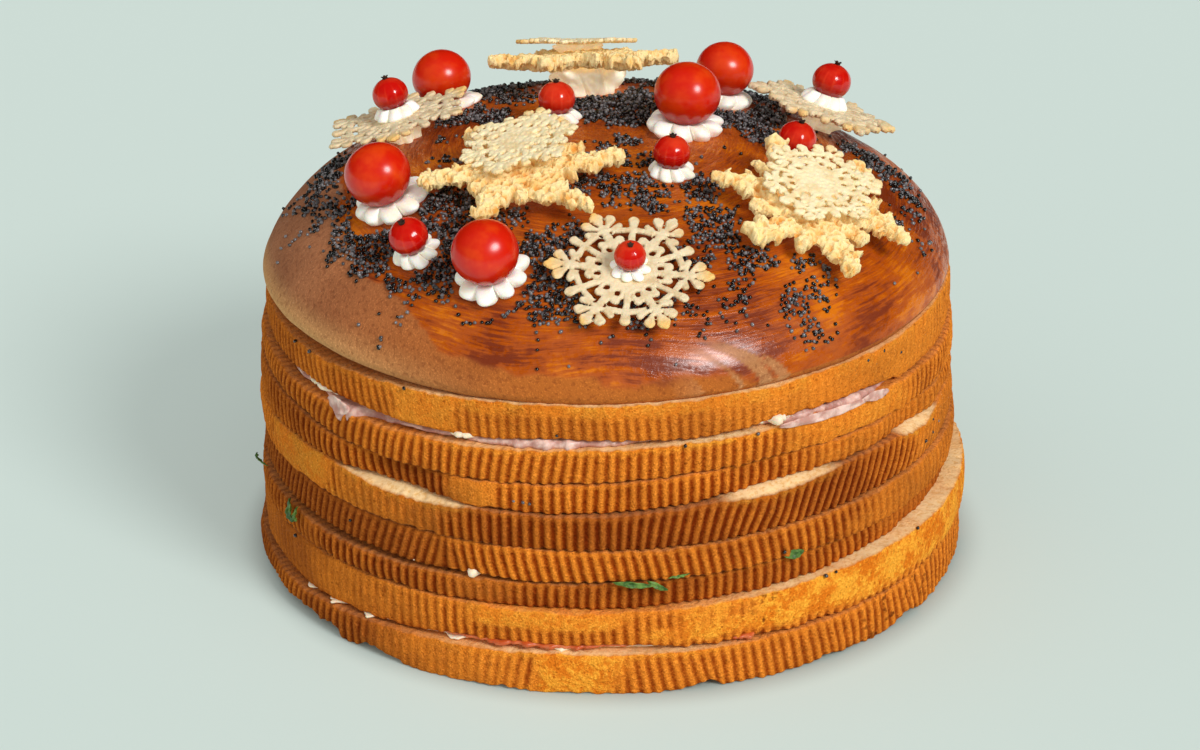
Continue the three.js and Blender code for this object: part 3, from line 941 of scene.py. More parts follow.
class Finishes:
    """Every material of the loaf, made once."""

    def __init__(self) -> None:
        """Makes the materials."""
        self.crust = CrustFinish().material()
        self.dome = DomeFinish().material()
        self.cream = CreamFinish("cream", tone(255, 252, 243), tone(250, 238, 210)).material()
        # The dabs glow more: painted light on cream in the flakes' shade.
        self.dab = CreamFinish("dab", tone(255, 248, 228), tone(250, 226, 176), 0.3).material()
        self.spread = CreamFinish("spread", tone(244, 228, 200), tone(230, 202, 166)).material()
        self.wafer = WaferFinish("wafer", tone(236, 217, 178), tone(219, 192, 146)).material()
        # A paler copy of the wafer finish for the wafers on the bread: painted light, as they lie in fuller
        # light with more sheen.
        self.lit_top_wafer = WaferFinish("lit_top_wafer", tone(254, 236, 190), tone(243, 214, 158)).material()
        self.bread = BreadFinish().material()
        self.dark_seed = SeedFinish("dark_seed", tone(6, 5, 5), tone(28, 25, 25)).material()
        # The light end of the slate kind stands partly for painted glints, which seeds this small cannot
        # show.
        self.slate_and_glint_seed = SeedFinish("slate_and_glint_seed", tone(36, 35, 36), tone(142, 137, 138)).material()
        self.tomato = FruitFinish(
            "tomato", tone(214, 28, 2), tone(236, 78, 12), tone(160, 10, 2), veins=0.15, rough=0.24, depth=0.1
        ).material()
        self.currant = FruitFinish(
            "currant", tone(200, 15, 6), tone(236, 74, 38), tone(116, 4, 3), veins=0.3, rough=0.16, depth=0.2
        ).material()
        self.tuft = FillingFinish("dry_tuft", tone(34, 18, 10), tone(70, 42, 22), 900.0, 0.9).material()
        self.ham = FillingFinish("ham", tone(196, 142, 128), tone(242, 206, 190), 260.0).material()
        self.greens = FillingFinish("greens", tone(44, 86, 20), tone(112, 150, 62), 420.0, 0.5).material()
        self.salmon = FillingFinish("salmon", tone(196, 84, 34), tone(220, 120, 70), 300.0, 0.35).material()


# Loaf


@dataclass(frozen=True)
class Patch:
    """A smooth golden stretch of crust, where the ridges fade.

    angle and width are in degrees round the loaf, low and high are shares of the slice's height.
    """

    angle: float
    width: float
    low: float = -0.3
    high: float = 1.3
    gold: float = 0.6
    smooth: float = 0.95


@dataclass(frozen=True)
class Bevel:
    """A stretch where a slice's upper edge is torn off and bares its crumb. drop is in millimetres."""

    angle: float
    width: float
    drop: float


@dataclass
class LoafSlice:
    """One slice's crust: fine upright ridges between two sawn faces.

    Stops are pairs of an angle round the loaf and a value there: leans gives the ridges' lean in
    degrees, sags how far the lower edge hangs into the cut below in millimetres, browns_and_shade how
    dark the crust is, partly its own brown and partly painted shade that deepens on the left, away
    from the light, and pales how much pale crumb the upper edge shows, which also sets a painted
    highlight along its top. scorch is the angle and width of a scorched stretch, depth the ridges'
    height, foot how far the lower edge curls up in places, ridges how many run round the loaf, and
    corner the radius of the edges.
    """

    node: str
    seed: int
    leans: Stops
    browns_and_shade: Stops
    sags: Stops = ((0, 0),)
    pales: Stops = ((0, 0),)
    patches: tuple[Patch, ...] = ()
    bevels: tuple[Bevel, ...] = ()
    scorch: tuple[float, float] = (0, 0.1)
    depth: float = 0.55 * MM
    foot: float = 0.0
    ridges: int = 212
    columns_per_ridge: int = 8
    side_rows: int = 10
    corner: float = 0.75 * MM

    def rows(self) -> tuple[Array, Array, Array]:
        """The profile from foot to top.

        Returns:
            For every row its inset, its share of the height, and its rise over that share.
        """
        under = np.array([12, 2.5, 1.0]) * MM
        over = np.array([0.9, 1.6, 2.6, 4.0, 6.5, 12]) * MM
        bend = np.radians([25, 55])
        corner_inset = self.corner * (1 - np.sin(bend))
        corner_rise = self.corner * (1 - np.cos(bend))
        share = np.linspace(0, 1, self.side_rows)
        foot, top = np.zeros(len(under) + len(bend)), np.ones(len(bend) + len(over))
        inset = [under, corner_inset, 0 * share, corner_inset[::-1], over]
        rise = [0 * under, corner_rise, self.corner * (1 - 2 * share), -corner_rise[::-1], 0 * over]
        return np.concatenate(inset), np.concatenate([foot, share, top]), np.concatenate(rise)

    def build(self, outline: Outline, finish: Material, *nodes: str) -> None:
        """Makes the slice.

        A point's radius is the outline's, less the row's inset and the ridge's relief. The relief
        is a cosine of the angle, sheared by the ridges' lean. It fades towards the rounded upper
        edge.

        Args:
            outline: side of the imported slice.
            finish: crust material.
            nodes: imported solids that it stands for.
        """
        angles = turns(self.ridges * self.columns_per_ridge)
        degrees = np.degrees(angles)
        inset, share, rise = (part[:, None] for part in self.rows())
        radius, low, high = outline.at(angles)
        low = low - along(self.sags, degrees) * MM
        torn = sum((b.drop * swell(apart(degrees, b.angle), b.width) for b in self.bevels), 0 * angles)
        height = low + (high - low) * share + rise
        height = height - torn * MM * share * (1 - ease(inset, 0.2 * MM, 4.5 * MM))
        lean = np.tan(np.radians(along(self.leans, degrees)))
        sheared = angles + lean * (height - (low + high) / 2) / radius
        spots = around(angles, radius, height)
        wobble = uneven(spots, 11 * MM, self.seed)
        crest = 0.5 + 0.5 * np.cos(self.ridges * sheared + 3.2 * wobble + self.seed)
        strength, gold = self.smooth_stretches(degrees, share, spots)
        strength = strength * (1 - 0.4 * ease(share, 0.86, 1.0))
        worn = 0.6 + 0.9 * lattice_noise(spots, 3 * MM, self.seed + 1)
        side = 1 - ease(inset, 0.4 * MM, 3 * MM)
        relief = self.depth * strength * worn * (1 - crest) * side
        crumbs = uneven(spots, 1.3 * MM, self.seed + 2, 2) * 0.5 * MM
        lumps = uneven(spots, 13 * MM, self.seed + 9, 2) * 1.1 * MM
        face = ease(inset, 0.3 * MM, 1.0 * MM)
        bulge = 0.3 * MM * (4 * share * (1 - share) - 0.3) * side
        reach = radius - inset - relief + bulge + lumps + crumbs * (0.6 + 0.4 * face)
        ragged = uneven(spots, 2.4 * MM, self.seed + 3, 2) * 1.2 * MM
        curl = self.foot * ease(rough_noise(spots, 12 * MM, self.seed + 10, 2), 0.45, 0.75)
        height = height + curl * (1 - ease(share, 0.0, 0.5)) * (1 - ease(inset, 1 * MM, 8 * MM))
        edge = np.clip(np.abs(2 * share - 1) * 3 - 2, 0, 1)
        height = np.maximum(height + ragged * edge * side + 0.5 * crumbs * face, outline.low.min())
        points = around(angles, reach, height, outline.middle)
        pale = np.maximum(along(self.pales, degrees), np.clip(1.6 * torn, 0, 1))
        pale = pale * (0.75 + 0.5 * lattice_noise(spots, 5 * MM, self.seed + 8))
        bare = ease(inset, 0.15 * MM, 0.6 * MM) * np.where(share > 0.5, np.clip(pale, 0.1, 1), 0.2)
        # The rounded upper edge turns paler: partly its crumb, partly a painted highlight where light catches
        # it.
        pale_rim_and_highlight = 0.7 * pale * ease(share, 0.8, 1.0) * (inset < 1 * MM)
        # The stops hold the crust's own brown and painted shade, deeper on the left, away from the light.
        dark = along(self.browns_and_shade, degrees) + 0.5 * uneven(spots, 20 * MM, self.seed + 5)
        values = {
            # ridge falls in the valleys, more for deeper ridges, and the crust finish darkens them there as
            # painted shade.
            "ridge": 1 - (1 - crest) * strength * (0.35 + self.depth / (0.85 * MM)),
            "gold": np.maximum(gold, pale_rim_and_highlight),
            "crumb": bare,
            "scorch": swell(apart(degrees, self.scorch[0]), self.scorch[1]) + 0 * strength,
            # The faces under the slice are darkened: painted shade in the gap below it.
            "brown": dark * (1 - 0.7 * gold) + 0.9 * (share < 0.5) * ease(inset, 0.1 * MM, 0.6 * MM),
        }
        Surface.ring(points, values).piece(f"{self.node}_crust", finish, "crust", *nodes)

    def smooth_stretches(self, degrees: Array, share: Array, spots: Array) -> tuple[Array, Array]:
        """Fades the ridges on patches, and here and there at random.

        Args:
            degrees: angle of every column.
            share: share of the height of every row.
            spots: rough place of every point.

        Returns:
            How strong the ridges are, and how golden the crust is, at every point.
        """
        broken = uneven(spots, 5 * MM, self.seed + 6, 3) * 0.9
        cover = np.zeros(np.broadcast_shapes(degrees.shape, share.shape))
        gold = np.zeros_like(cover)
        for patch in self.patches:
            across = swell(apart(degrees, patch.angle), 1.35 * patch.width)
            inside = ease(share, patch.low - 0.25, patch.low + 0.05)
            inside = inside * (1 - ease(share, patch.high - 0.05, patch.high + 0.25))
            here = ease(across * inside + broken * (across > 0), 0.15, 0.8)
            cover = np.maximum(cover, here * patch.smooth)
            gold = np.maximum(gold, here * patch.gold)
        faded = ease(lattice_noise(spots, 26 * MM, self.seed + 7), 0.7, 0.9) * 0.6
        return 1 - np.maximum(cover, faded), gold


@dataclass
class Dome:
    """The glazed dome: a superellipse of revolution with soft lumps.

    lean is how much higher the rim is towards +X, roundness and crest are the superellipse's
    exponents, groove is the angle, width and depth of the gap under the lip, tuck the inset and
    rise of the lip's rows in millimetres, and glaze_edge the share of the radius where glaze ends.
    """

    middle: Array
    rim: float = 76.9 * MM
    radius: float = 88.7 * MM
    rise: float = 34.4 * MM
    lean: float = 2.1 * MM
    roundness: float = 0.81
    crest: float = 1.065
    groove: tuple[float, float, float] = (-66, 62, 2.4 * MM)
    tuck: Stops = ((9.0, -1.6), (4.0, -1.3), (2.0, -0.9), (0.8, -0.3), (0.25, 0.5))
    columns: int = 640
    rows: int = 136
    glaze_edge: Stops = (
        (-180, 0.9), (-120, 0.86), (-95, 0.78), (-80, 0.76), (-68, 0.82), (-52, 0.87), (-38, 0.9),
        (-32, 0.94), (-28, 0.97), (-20, 0.976), (-8, 0.975), (-1, 0.98), (5, 0.986), (12, 0.99),
        (20, 0.995), (27, 1.0), (46, 1.03), (80, 1.04), (110, 0.97), (140, 0.92),
    )

    def base_height(self, x: Array, y: Array) -> Array:
        """Height of the smooth dome, a superellipse that leans a little.

        Args:
            x: places along X.
            y: places along Y.

        Returns:
            The height over each place.
        """
        away = (x - self.middle[0]) / self.radius
        share = np.clip(np.hypot(away, (y - self.middle[1]) / self.radius), 0, 1)
        climb = np.sqrt(1 - share ** (2 / self.roundness))
        return self.rim + self.lean * away * (1 - climb) + self.rise * climb**self.crest

    def height(self, x: Array, y: Array) -> Array:
        """Height of the lumpy dome over points."""
        lumps = uneven(flat(x, y), 21 * MM, 300) * 0.9 * MM
        return self.base_height(x, y) + lumps + uneven(flat(x, y), 5 * MM, 301, 2) * 0.22 * MM

    def normal(self, x: Array, y: Array) -> Array:
        """Outward directions of the smooth dome, from its slopes.

        Args:
            x: places along X.
            y: places along Y.

        Returns:
            A unit vector for each place.
        """
        step = 0.2 * MM
        slope_x = (self.base_height(x + step, y) - self.base_height(x - step, y)) / (2 * step)
        slope_y = (self.base_height(x, y + step) - self.base_height(x, y - step)) / (2 * step)
        normal = np.stack([-slope_x, -slope_y, np.ones_like(x)], axis=-1)
        return normal / np.linalg.norm(normal, axis=-1, keepdims=True)

    def build(self, finish: Material) -> None:
        """Makes the dome: rows of the superellipse, over a lip that is tucked in under the rim.

        Args:
            finish: glazed material.
        """
        angles = turns(self.columns)
        degrees = np.degrees(angles)
        lift = 0.45 * MM + 0.6 * self.groove_depth(degrees)
        tuck = np.array(self.tuck) * MM
        tucked = len(tuck)
        climb = np.radians(np.linspace(3, 89.7, self.rows))
        reach = np.concatenate([self.radius - tuck[:, 0], self.radius * np.cos(climb) ** self.roundness])
        x = self.middle[0] + reach[:, None] * np.sin(angles)
        y = self.middle[1] - reach[:, None] * np.cos(angles)
        height = self.height(x, y)
        lip_height = self.rim + self.lean * np.sin(angles) + tuck[:, 1][:, None] + lift
        height[:tucked] = lip_height + uneven(flat(x, y)[:tucked], 9 * MM, 302) * 0.5 * MM
        low_part = ease(height, self.rim - 1 * MM, self.rim + 5 * MM)
        height[tucked:] += (lift * (1 - low_part))[tucked:]
        points = np.stack([x, y, height], axis=-1)
        share = np.broadcast_to((reach / self.radius)[:, None], height.shape)
        edge = along(self.glaze_edge, degrees)
        bare = self.bare_strokes(degrees, share)
        values = {
            "glaze": self.glazed(edge, share, points) * (1 - 0.9 * bare),
            "pool": np.maximum(
                ease(share, edge - 0.05, edge - 0.02) * swell(apart(degrees, -8), 50),
                1.3 * ease(share, 0.62, 0.8) * swell(apart(degrees, 80), 30),
            ),
            "shine": swell(apart(degrees, 17), 15) * ease(share, 0.91, 0.94) * (1 - ease(share, 0.975, 0.99)),
            "lip": np.maximum(
                self.paled(degrees, height - self.rim - self.lean * np.sin(angles) * share),
                0.3 * bare,
            ),
            # warm is low on the left, where the mauve is partly painted cool shade, and on the bare strokes.
            "warm": 1 - np.maximum(swell(apart(degrees, -85), 80), 0.8 * bare),
            "brush": self.brush(angles, share, points),
        }
        values["glaze"][: tucked + 1] = 0
        Surface.ring(points, values).piece("dome", finish, "glaze", "crown")

    def groove_depth(self, degrees: Array) -> Array:
        """How far the band's edge falls away from the dome."""
        middle, width, depth = self.groove
        return depth * swell(apart(degrees, middle), width)

    @staticmethod
    def paled(degrees: Array, above: Array) -> Array:
        """How pale the lip is by its height over the rim. Only the left has a pale lip."""
        return swell(apart(degrees, -72), 62) * (1 - ease(above, 1 * MM, 10 * MM))

    @staticmethod
    def glazed(edge: Array, share: Array, points: Array) -> Array:
        """1 where the glaze lies. Its edge is a hand-brushed line.

        Args:
            edge: share of the radius at which the glaze ends, for every column.
            share: share of the radius of every point.
            points: the dome's points.

        Returns:
            The cover at every point.
        """
        drips = uneven(points, 9 * MM, 310, 4) * np.interp(edge, [0.9, 0.97], [0.1, 0.035])
        return 1 - ease(share + drips, edge - 0.004, edge + 0.004)

    @staticmethod
    def bare_strokes(degrees: Array, share: Array) -> Array:
        """Slanted strokes right of the front where the brush left no glaze.

        Args:
            degrees: angle of every column.
            share: share of the radius of every point.

        Returns:
            1 on a stroke and 0 off it, for every point.
        """
        slanted = flat(degrees / 2.4 - share * 60, 9 * share)
        bare = ease(rough_noise(slanted, 1.0, 312, 3), 0.55, 0.63) * ease(share, 0.92, 0.95)
        return bare * swell(apart(degrees, 25), 18)

    @staticmethod
    def brush(angles: Array, share: Array, points: Array) -> Array:
        """Coordinates that stretch a noise along the brush's strokes round the dome.

        Args:
            angles: angle of every column.
            share: share of the radius of every point.
            points: the dome's points.

        Returns:
            A vector for every point, which changes little along a stroke and fast across it.
        """
        return around(angles, 0.55, (share + uneven(points, 30 * MM, 311) * 0.05) * 9.0)


@dataclass(frozen=True)
class Drift:
    """A drift of poppy seeds.

    angle is in degrees from the front, share that of the dome's radius, and reach in millimetres.
    """

    angle: float
    share: float
    reach: float
    weight: float = 1.0


@dataclass(frozen=True)
class SideSeed:
    """A stray seed on a slice's side: the slice, the angle, and the share of its height."""

    node: str
    angle: float
    share: float


@dataclass
class PoppySeeds:
    """Seeds strewn over the dome in dense drifts with broken edges, piled in places.

    spot is the spacing of possible places, limit the thickness from which most are taken,
    stray_share the share that is taken everywhere, and half_size a seed's half axes.
    """

    drifts: tuple[Drift, ...]
    spot: float = 0.95 * MM
    limit: float = 0.54
    stray_share: float = 0.006
    half_size: tuple[float, float, float] = (0.6 * MM, 0.5 * MM, 0.44 * MM)

    def build(self, dome: Dome, footprints: Array, strays: Array, finishes: dict[str, Material]) -> None:
        """Makes the seeds, one piece for each kind.

        Args:
            dome: what they lie on.
            footprints: x, y and radius of everything that stands on the dome.
            strays: places of seeds on the loaf's sides.
            finishes: material of each kind by its name.
        """
        random = np.random.default_rng(41)
        places, thick = self.strewn(dome, random)
        gap = np.linalg.norm(places[:, None] - footprints[:, :2], axis=-1) - footprints[:, 2]
        free = gap.min(axis=1) > 0.1 * MM
        places, thick = places[free], thick[free]
        second = (thick > 0.8) & (random.uniform(size=len(thick)) < 0.5)
        lifted = np.concatenate([np.zeros(len(places)), np.full(second.sum(), 0.65 * MM)])
        nudge = random.normal(0, 0.3 * MM, (second.sum(), 2))
        places = np.concatenate([places, places[second] + nudge])
        middle = np.column_stack([places, dome.height(*places.T)])
        middle += dome.normal(*places.T) * (0.25 * MM + lifted)[:, None]
        middle = np.concatenate([middle, strays])
        kind = random.integers(0, len(finishes), len(middle))
        for number, (name, finish) in enumerate(finishes.items()):
            surface = self.seed_surface(middle[kind == number], random)
            surface.piece(f"poppy_seeds_{name}", finish, "glaze", "crown")

    def strewn(self, dome: Dome, random: np.random.Generator) -> tuple[Array, Array]:
        """Jittered grid places kept where drifts and noise are strong, and strays everywhere.

        Args:
            dome: what they lie on.
            random: source of random numbers.

        Returns:
            The places on the floor plane, and how thick the seeds lie at each.
        """
        ticks = np.arange(-dome.radius, dome.radius, self.spot)
        grid = np.stack(np.meshgrid(ticks, ticks), axis=-1).reshape(-1, 2)
        grid = grid + random.uniform(-0.5, 0.5, grid.shape) * 0.85 * self.spot
        places = grid + dome.middle
        share = np.hypot(*grid.T) / dome.radius
        field_strength = np.zeros(len(places))
        for drift in self.drifts:
            middle = around(np.radians(drift.angle), dome.radius * drift.share, 0.0, dome.middle)
            away = np.hypot(*(places - middle[:2]).T)
            near = 1 - ease(away, 0.5 * drift.reach * MM, 1.45 * drift.reach * MM)
            field_strength = np.maximum(field_strength, drift.weight * near)
        spots = flat(*places.T)
        thick = field_strength + 1.1 * uneven(spots, 2.6 * MM, 405, 2) + 0.6 * uneven(spots, 8 * MM, 400, 3)
        chance = 0.95 * ease(thick, self.limit - 0.3, self.limit + 0.25) + self.stray_share
        kept = (random.uniform(size=len(places)) < chance) & (share < 0.985)
        return places[kept], thick[kept]

    def seed_surface(self, middle: Array, random: np.random.Generator) -> Surface:
        """One small bean at every middle, turned by a random quaternion and sized at random.

        Args:
            middle: places of the seeds.
            random: source of random numbers.

        Returns:
            All seeds as one surface.
        """
        levels = np.radians([-45, 0, 45])[:, None]
        seed = Surface.ring(around(turns(5), np.cos(levels), np.sin(levels)))
        seed.points[-2:] = [[0, 0, -1], [0, 0, 1]]
        count = len(middle)
        size = np.array(self.half_size) * random.uniform(0.84, 1.14, (count, 1))
        turn = random.normal(size=(count, 4))
        turn /= np.linalg.norm(turn, axis=1, keepdims=True)
        shaped = seed.points * size[:, None, :]
        axis = turn[:, None, 1:]
        twist = np.cross(axis, shaped) + turn[:, None, :1] * shaped
        points = shaped + 2 * np.cross(axis, twist) + middle[:, None, :]
        offset = (np.arange(count) * len(seed.points))[:, None, None]
        shade = np.repeat(random.uniform(0, 1, count), len(seed.points))
        return Surface(
            points.reshape(-1, 3),
            (seed.quads + offset).reshape(-1, 4),
            (seed.triangles + offset).reshape(-1, 3),
            {"shade": shade},
        )


# Fillings


@dataclass(frozen=True)
class Smear:
    """A place where a filling is pushed out of its cut.

    angle and width are in degrees, push and the added thickness in millimetres.
    """

    angle: float
    width: float
    push: float
    thick: float = 0.0


@dataclass
class FillingLayer:
    """A filling's edge in its cut: a thin disc with an uneven rim.

    draw_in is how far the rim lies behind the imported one, in millimetres.
    """

    node: str
    slot: str
    seed: int
    draw_in: float
    smears: tuple[Smear, ...] = ()
    columns: int = 900

    def build(self, frame: dict, finish: Material) -> None:
        """Makes the layer.

        The rim is half a circle in section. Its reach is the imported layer's, drawn in or pushed
        out by smears and noise, and its thickness grows where it is pushed out.

        Args:
            frame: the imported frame.
            finish: filling material.
        """
        solid = Solid(frame, self.node)
        low_point, high_point = solid.points.min(axis=0), solid.points.max(axis=0)
        middle = (low_point + high_point) / 2
        angles = turns(self.columns)
        radius, foot, top = (series(part, angles) for part in self.rim(solid, middle))
        degrees = np.degrees(angles)
        spots = around(angles, radius, 0.0)
        push = uneven(spots, 7 * MM, self.seed, 3) * 1.2 * MM - self.draw_in * MM
        ragged = 0.2 + 1.6 * rough_noise(spots, 1.6 * MM, self.seed + 3, 3)
        thick = np.zeros_like(push)
        for smear in self.smears:
            here = swell(apart(degrees, smear.angle), smear.width)
            push = push + here * (smear.push + self.draw_in) * MM * ragged
            thick = thick + here * smear.thick * MM * ragged
        bend = np.radians(np.linspace(-90, 90, 9))
        half = (top - foot) / 2 + thick / 2
        level = (top + foot) / 2 + uneven(spots, 4 * MM, self.seed + 1) * 0.5 * MM
        reach = (radius + push)[None] - half * (1 - np.cos(bend))[:, None]
        reach = np.concatenate([(radius - 9 * MM)[None], reach, (radius - 9 * MM)[None]])
        swing = np.concatenate([[-1], np.sin(bend), [1]])[:, None]
        points = around(angles, reach, 0.0, middle)
        points[..., 2] = level + half * swing + uneven(points, 1.6 * MM, self.seed + 2, 2) * 0.3 * MM
        Surface.ring(points).piece(f"{self.node}_edge", finish, self.slot, self.node)

    @staticmethod
    def rim(solid: Solid, middle: Array) -> tuple[Array, Array, Array]:
        """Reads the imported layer's rim.

        Tabs hang outside the rim, so every step takes the corners nearest to the common radius.

        Args:
            solid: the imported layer.
            middle: the middle of its box.

        Returns:
            Radius, foot and top at even steps.
        """
        away = solid.points - middle
        reach = np.hypot(away[:, 0], away[:, 1])
        usual = np.median(reach[reach > 50 * MM])
        ring = np.flatnonzero(np.abs(reach - usual) < 3 * MM)
        number = step_numbers(away[ring])
        steps = [ring[number == step] for step in range(LOAF_STEPS)]
        radius = np.array([np.median(reach[step]) for step in steps])
        foot = np.array([solid.points[step, 2].min() for step in steps])
        top = np.array([solid.points[step, 2].max() for step in steps])
        return radius, foot, top


@dataclass(frozen=True)
class Blade:
    """A leaf tip or flap against the loaf's side.

    Sizes are in millimetres: how high over the lower slice it starts, how far it runs along the
    side and down it, its width, how far it stands off, and how much it is folded lengthwise.
    """

    angle: float
    rise: float
    run: float
    fall: float
    width: float
    stand: float
    fold: float
    blunt: float = 0.6


@dataclass
class Blades:
    """Leaf tips or flaps that hang out of one filling, over the slice below it."""

    name: str
    slot: str
    node: str
    below: str
    blades: tuple[Blade, ...]
    thick: float = 0.3 * MM
    seed: int = 900
    rows: int = 33
    columns: int = 20

    def build(self, outline: Outline, finish: Material) -> None:
        """Makes the blades as one piece.

        Args:
            outline: side of the slice below.
            finish: leaf or flap material.
        """
        parts = [self.blade_surface(blade, outline) for blade in self.blades]
        Surface.joined(parts).piece(self.name, finish, self.slot, self.node)

    def blade_surface(self, blade: Blade, outline: Outline) -> Surface:
        """A closed flat lens along a path on the loaf's side: its width swells and ends in tips.

        Args:
            blade: sizes of the leaf tip or flap.
            outline: side of the slice below.

        Returns:
            The blade's surface.
        """
        radius = outline.radius.mean() + 0.2 * MM
        top = series(outline.high, np.radians([blade.angle]))[0]
        length = np.linspace(0, 1, self.rows)[:, None]
        turn = turns(self.columns)
        spread = np.sin(np.pi * np.clip(length, 0.012, 0.988)) ** blade.blunt * blade.width / 2 * MM
        across = spread * np.cos(turn)
        half_thick = self.thick * np.minimum(spread / (0.4 * MM), 1) * np.sin(turn)
        ruffle = uneven(flat(length * 14, np.cos(turn) * 2), 1.6, self.seed) * 0.7 * MM
        fold = blade.fold * MM * np.abs(np.cos(turn)) * (spread / spread.max())
        tilt = np.hypot(blade.run, blade.fall)
        angle = np.radians(blade.angle) + (length - 0.5) * blade.run * MM / radius
        angle = angle + across * (blade.fall / tilt) / radius
        curl = blade.stand * MM * np.sin(0.62 * np.pi * length)
        reach = radius + curl + fold + ruffle + half_thick
        height = top + blade.rise * MM - length * blade.fall * MM + across * blade.run / tilt
        return Surface.ring(around(angle, reach, height, outline.middle))


# Toppings


class CreamShape(Enum):
    """Profiles of piped cream: reach and height as shares, and how deep the lobes are cut."""

    SEAT = (
        (0.3, -0.5, 0.0), (0.8, -0.3, 0.2), (0.97, -0.05, 0.5), (1.02, 0.12, 0.62), (1.0, 0.3, 0.68),
        (0.95, 0.5, 0.7), (0.89, 0.7, 0.7), (0.82, 0.9, 0.68), (0.75, 1.08, 0.6), (0.66, 1.18, 0.4),
        (0.56, 1.08, 0.15), (0.4, 0.7, 0.0),
    )
    ROSETTE = (
        (0.3, -0.5, 0.0), (0.75, -0.3, 0.25), (0.93, -0.05, 0.5), (1.0, 0.2, 0.62), (1.03, 0.42, 0.66),
        (1.0, 0.62, 0.66), (0.94, 0.8, 0.62), (0.85, 0.94, 0.55), (0.75, 1.02, 0.45), (0.62, 1.0, 0.25),
        (0.45, 0.7, 0.0),
    )
    DAB = (
        (0.3, -0.4, 0.0), (0.55, -0.3, 0.1), (0.66, -0.05, 0.2), (0.77, 0.2, 0.28), (0.88, 0.45, 0.32),
        (0.96, 0.68, 0.3), (0.95, 0.86, 0.22), (0.8, 0.98, 0.1), (0.5, 1.0, 0.0),
    )


@dataclass
class CreamStar:
    """Piped cream with rounded lobes."""

    node: str
    shape: CreamShape
    lobes: int
    seed: int
    columns_per_lobe: int = 18
    rows: int = 26

    def build(self, frame: dict, finish: Material) -> None:
        """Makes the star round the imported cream's own axis.

        Each lobe is half an ellipse of the angle, so lobes are round and the grooves sharp.

        Args:
            frame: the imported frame.
            finish: cream material.
        """
        solid = Solid(frame, self.node)
        stand = Stand(solid.middle(), solid.axis())
        local = stand.local(solid.points)
        base, top = local[:, 2].min(), local[:, 2].max()
        radius = np.hypot(local[:, 0], local[:, 1]).max() / 1.05
        random = np.random.default_rng(self.seed)
        columns = self.lobes * self.columns_per_lobe
        turn = np.arange(columns) / columns
        within = (turn * self.lobes) % 1 - 0.5
        round_lobe = np.sqrt(1 - (1.9 * within) ** 2)
        own_size = 1 + random.uniform(-0.13, 0.13, self.lobes)
        size = np.repeat(own_size, self.columns_per_lobe)
        profile = np.array(self.shape.value)
        fine = np.linspace(0, 1, self.rows)
        coarse = np.linspace(0, 1, len(profile))
        reach, level, cut = (np.interp(fine, coarse, column)[:, None] for column in profile.T)
        lobed = 1 + cut * (size * (0.25 + 0.8 * round_lobe) - 1.0)
        twist = 0.25 * random.uniform(-1, 1) * level
        angle = (turn + random.uniform()) * TURN + twist
        height = base + (top - base) * level * (1 + 0.2 * cut * (round_lobe - 0.6) * np.sign(level))
        points = turned(radius * reach * lobed, angle, height)
        lumps = 4.5 if self.shape is CreamShape.DAB else 0.5
        soft = uneven(points, 2.6 * MM, self.seed, 2) * lumps * MM
        points *= (1 + soft / radius)[..., None]
        Surface.ring(stand.place(points)).piece(f"{self.node}_star", finish, "cream", self.node)


@dataclass
class Fruit:
    """A tomato or a currant: a ball with faint meridian ribs.

    seat is the node that it sits in, and squat its height over its width.
    """

    node: str
    seat: str
    slot: str
    seed: int
    squat: float
    ribs: int
    rib_depth: float = 0.006
    rows: int = 41
    columns: int = 72

    def stand(self, frame: dict) -> tuple[Stand, float]:
        """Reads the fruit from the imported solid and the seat's axis.

        Args:
            frame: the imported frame.

        Returns:
            The fruit's own frame and its radius.
        """
        solid = Solid(frame, self.node)
        up = Solid(frame, self.seat).axis()
        lowest = solid.points[np.argmin(solid.points @ up)]
        local = Stand(lowest, up).local(solid.points)
        radius = np.hypot(local[:, 0], local[:, 1]).max() * 1.01
        return Stand(lowest + up * radius * self.squat, up, self.seed * 1.7), radius

    def build(self, frame: dict, finish: Material) -> None:
        """Makes the skin: a ball whose radius swells a little along its ribs.

        Args:
            frame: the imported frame.
            finish: skin material.
        """
        stand, radius = self.stand(frame)
        level = np.radians(np.linspace(-88, 88, self.rows))[:, None]
        turn = turns(self.columns)
        ball = turned(np.cos(level), turn, np.sin(level))
        rib = np.cos(self.ribs * turn) * np.cos(level)
        lump = uneven(ball, 0.8, self.seed)
        points = ball * (radius * (1 + self.rib_depth * rib + 0.02 * lump))[..., None]
        points[..., 2] *= self.squat
        values = {
            "vein": ease(rib, 0.55, 1.0) * np.cos(level),
            # base grows towards the underside, where the finish paints shade.
            "base": ease(-np.sin(level) + 0 * turn, -0.35, 0.9),
        }
        Surface.ring(stand.place(points), values).piece(f"{self.node}_skin", finish, self.slot, self.node)


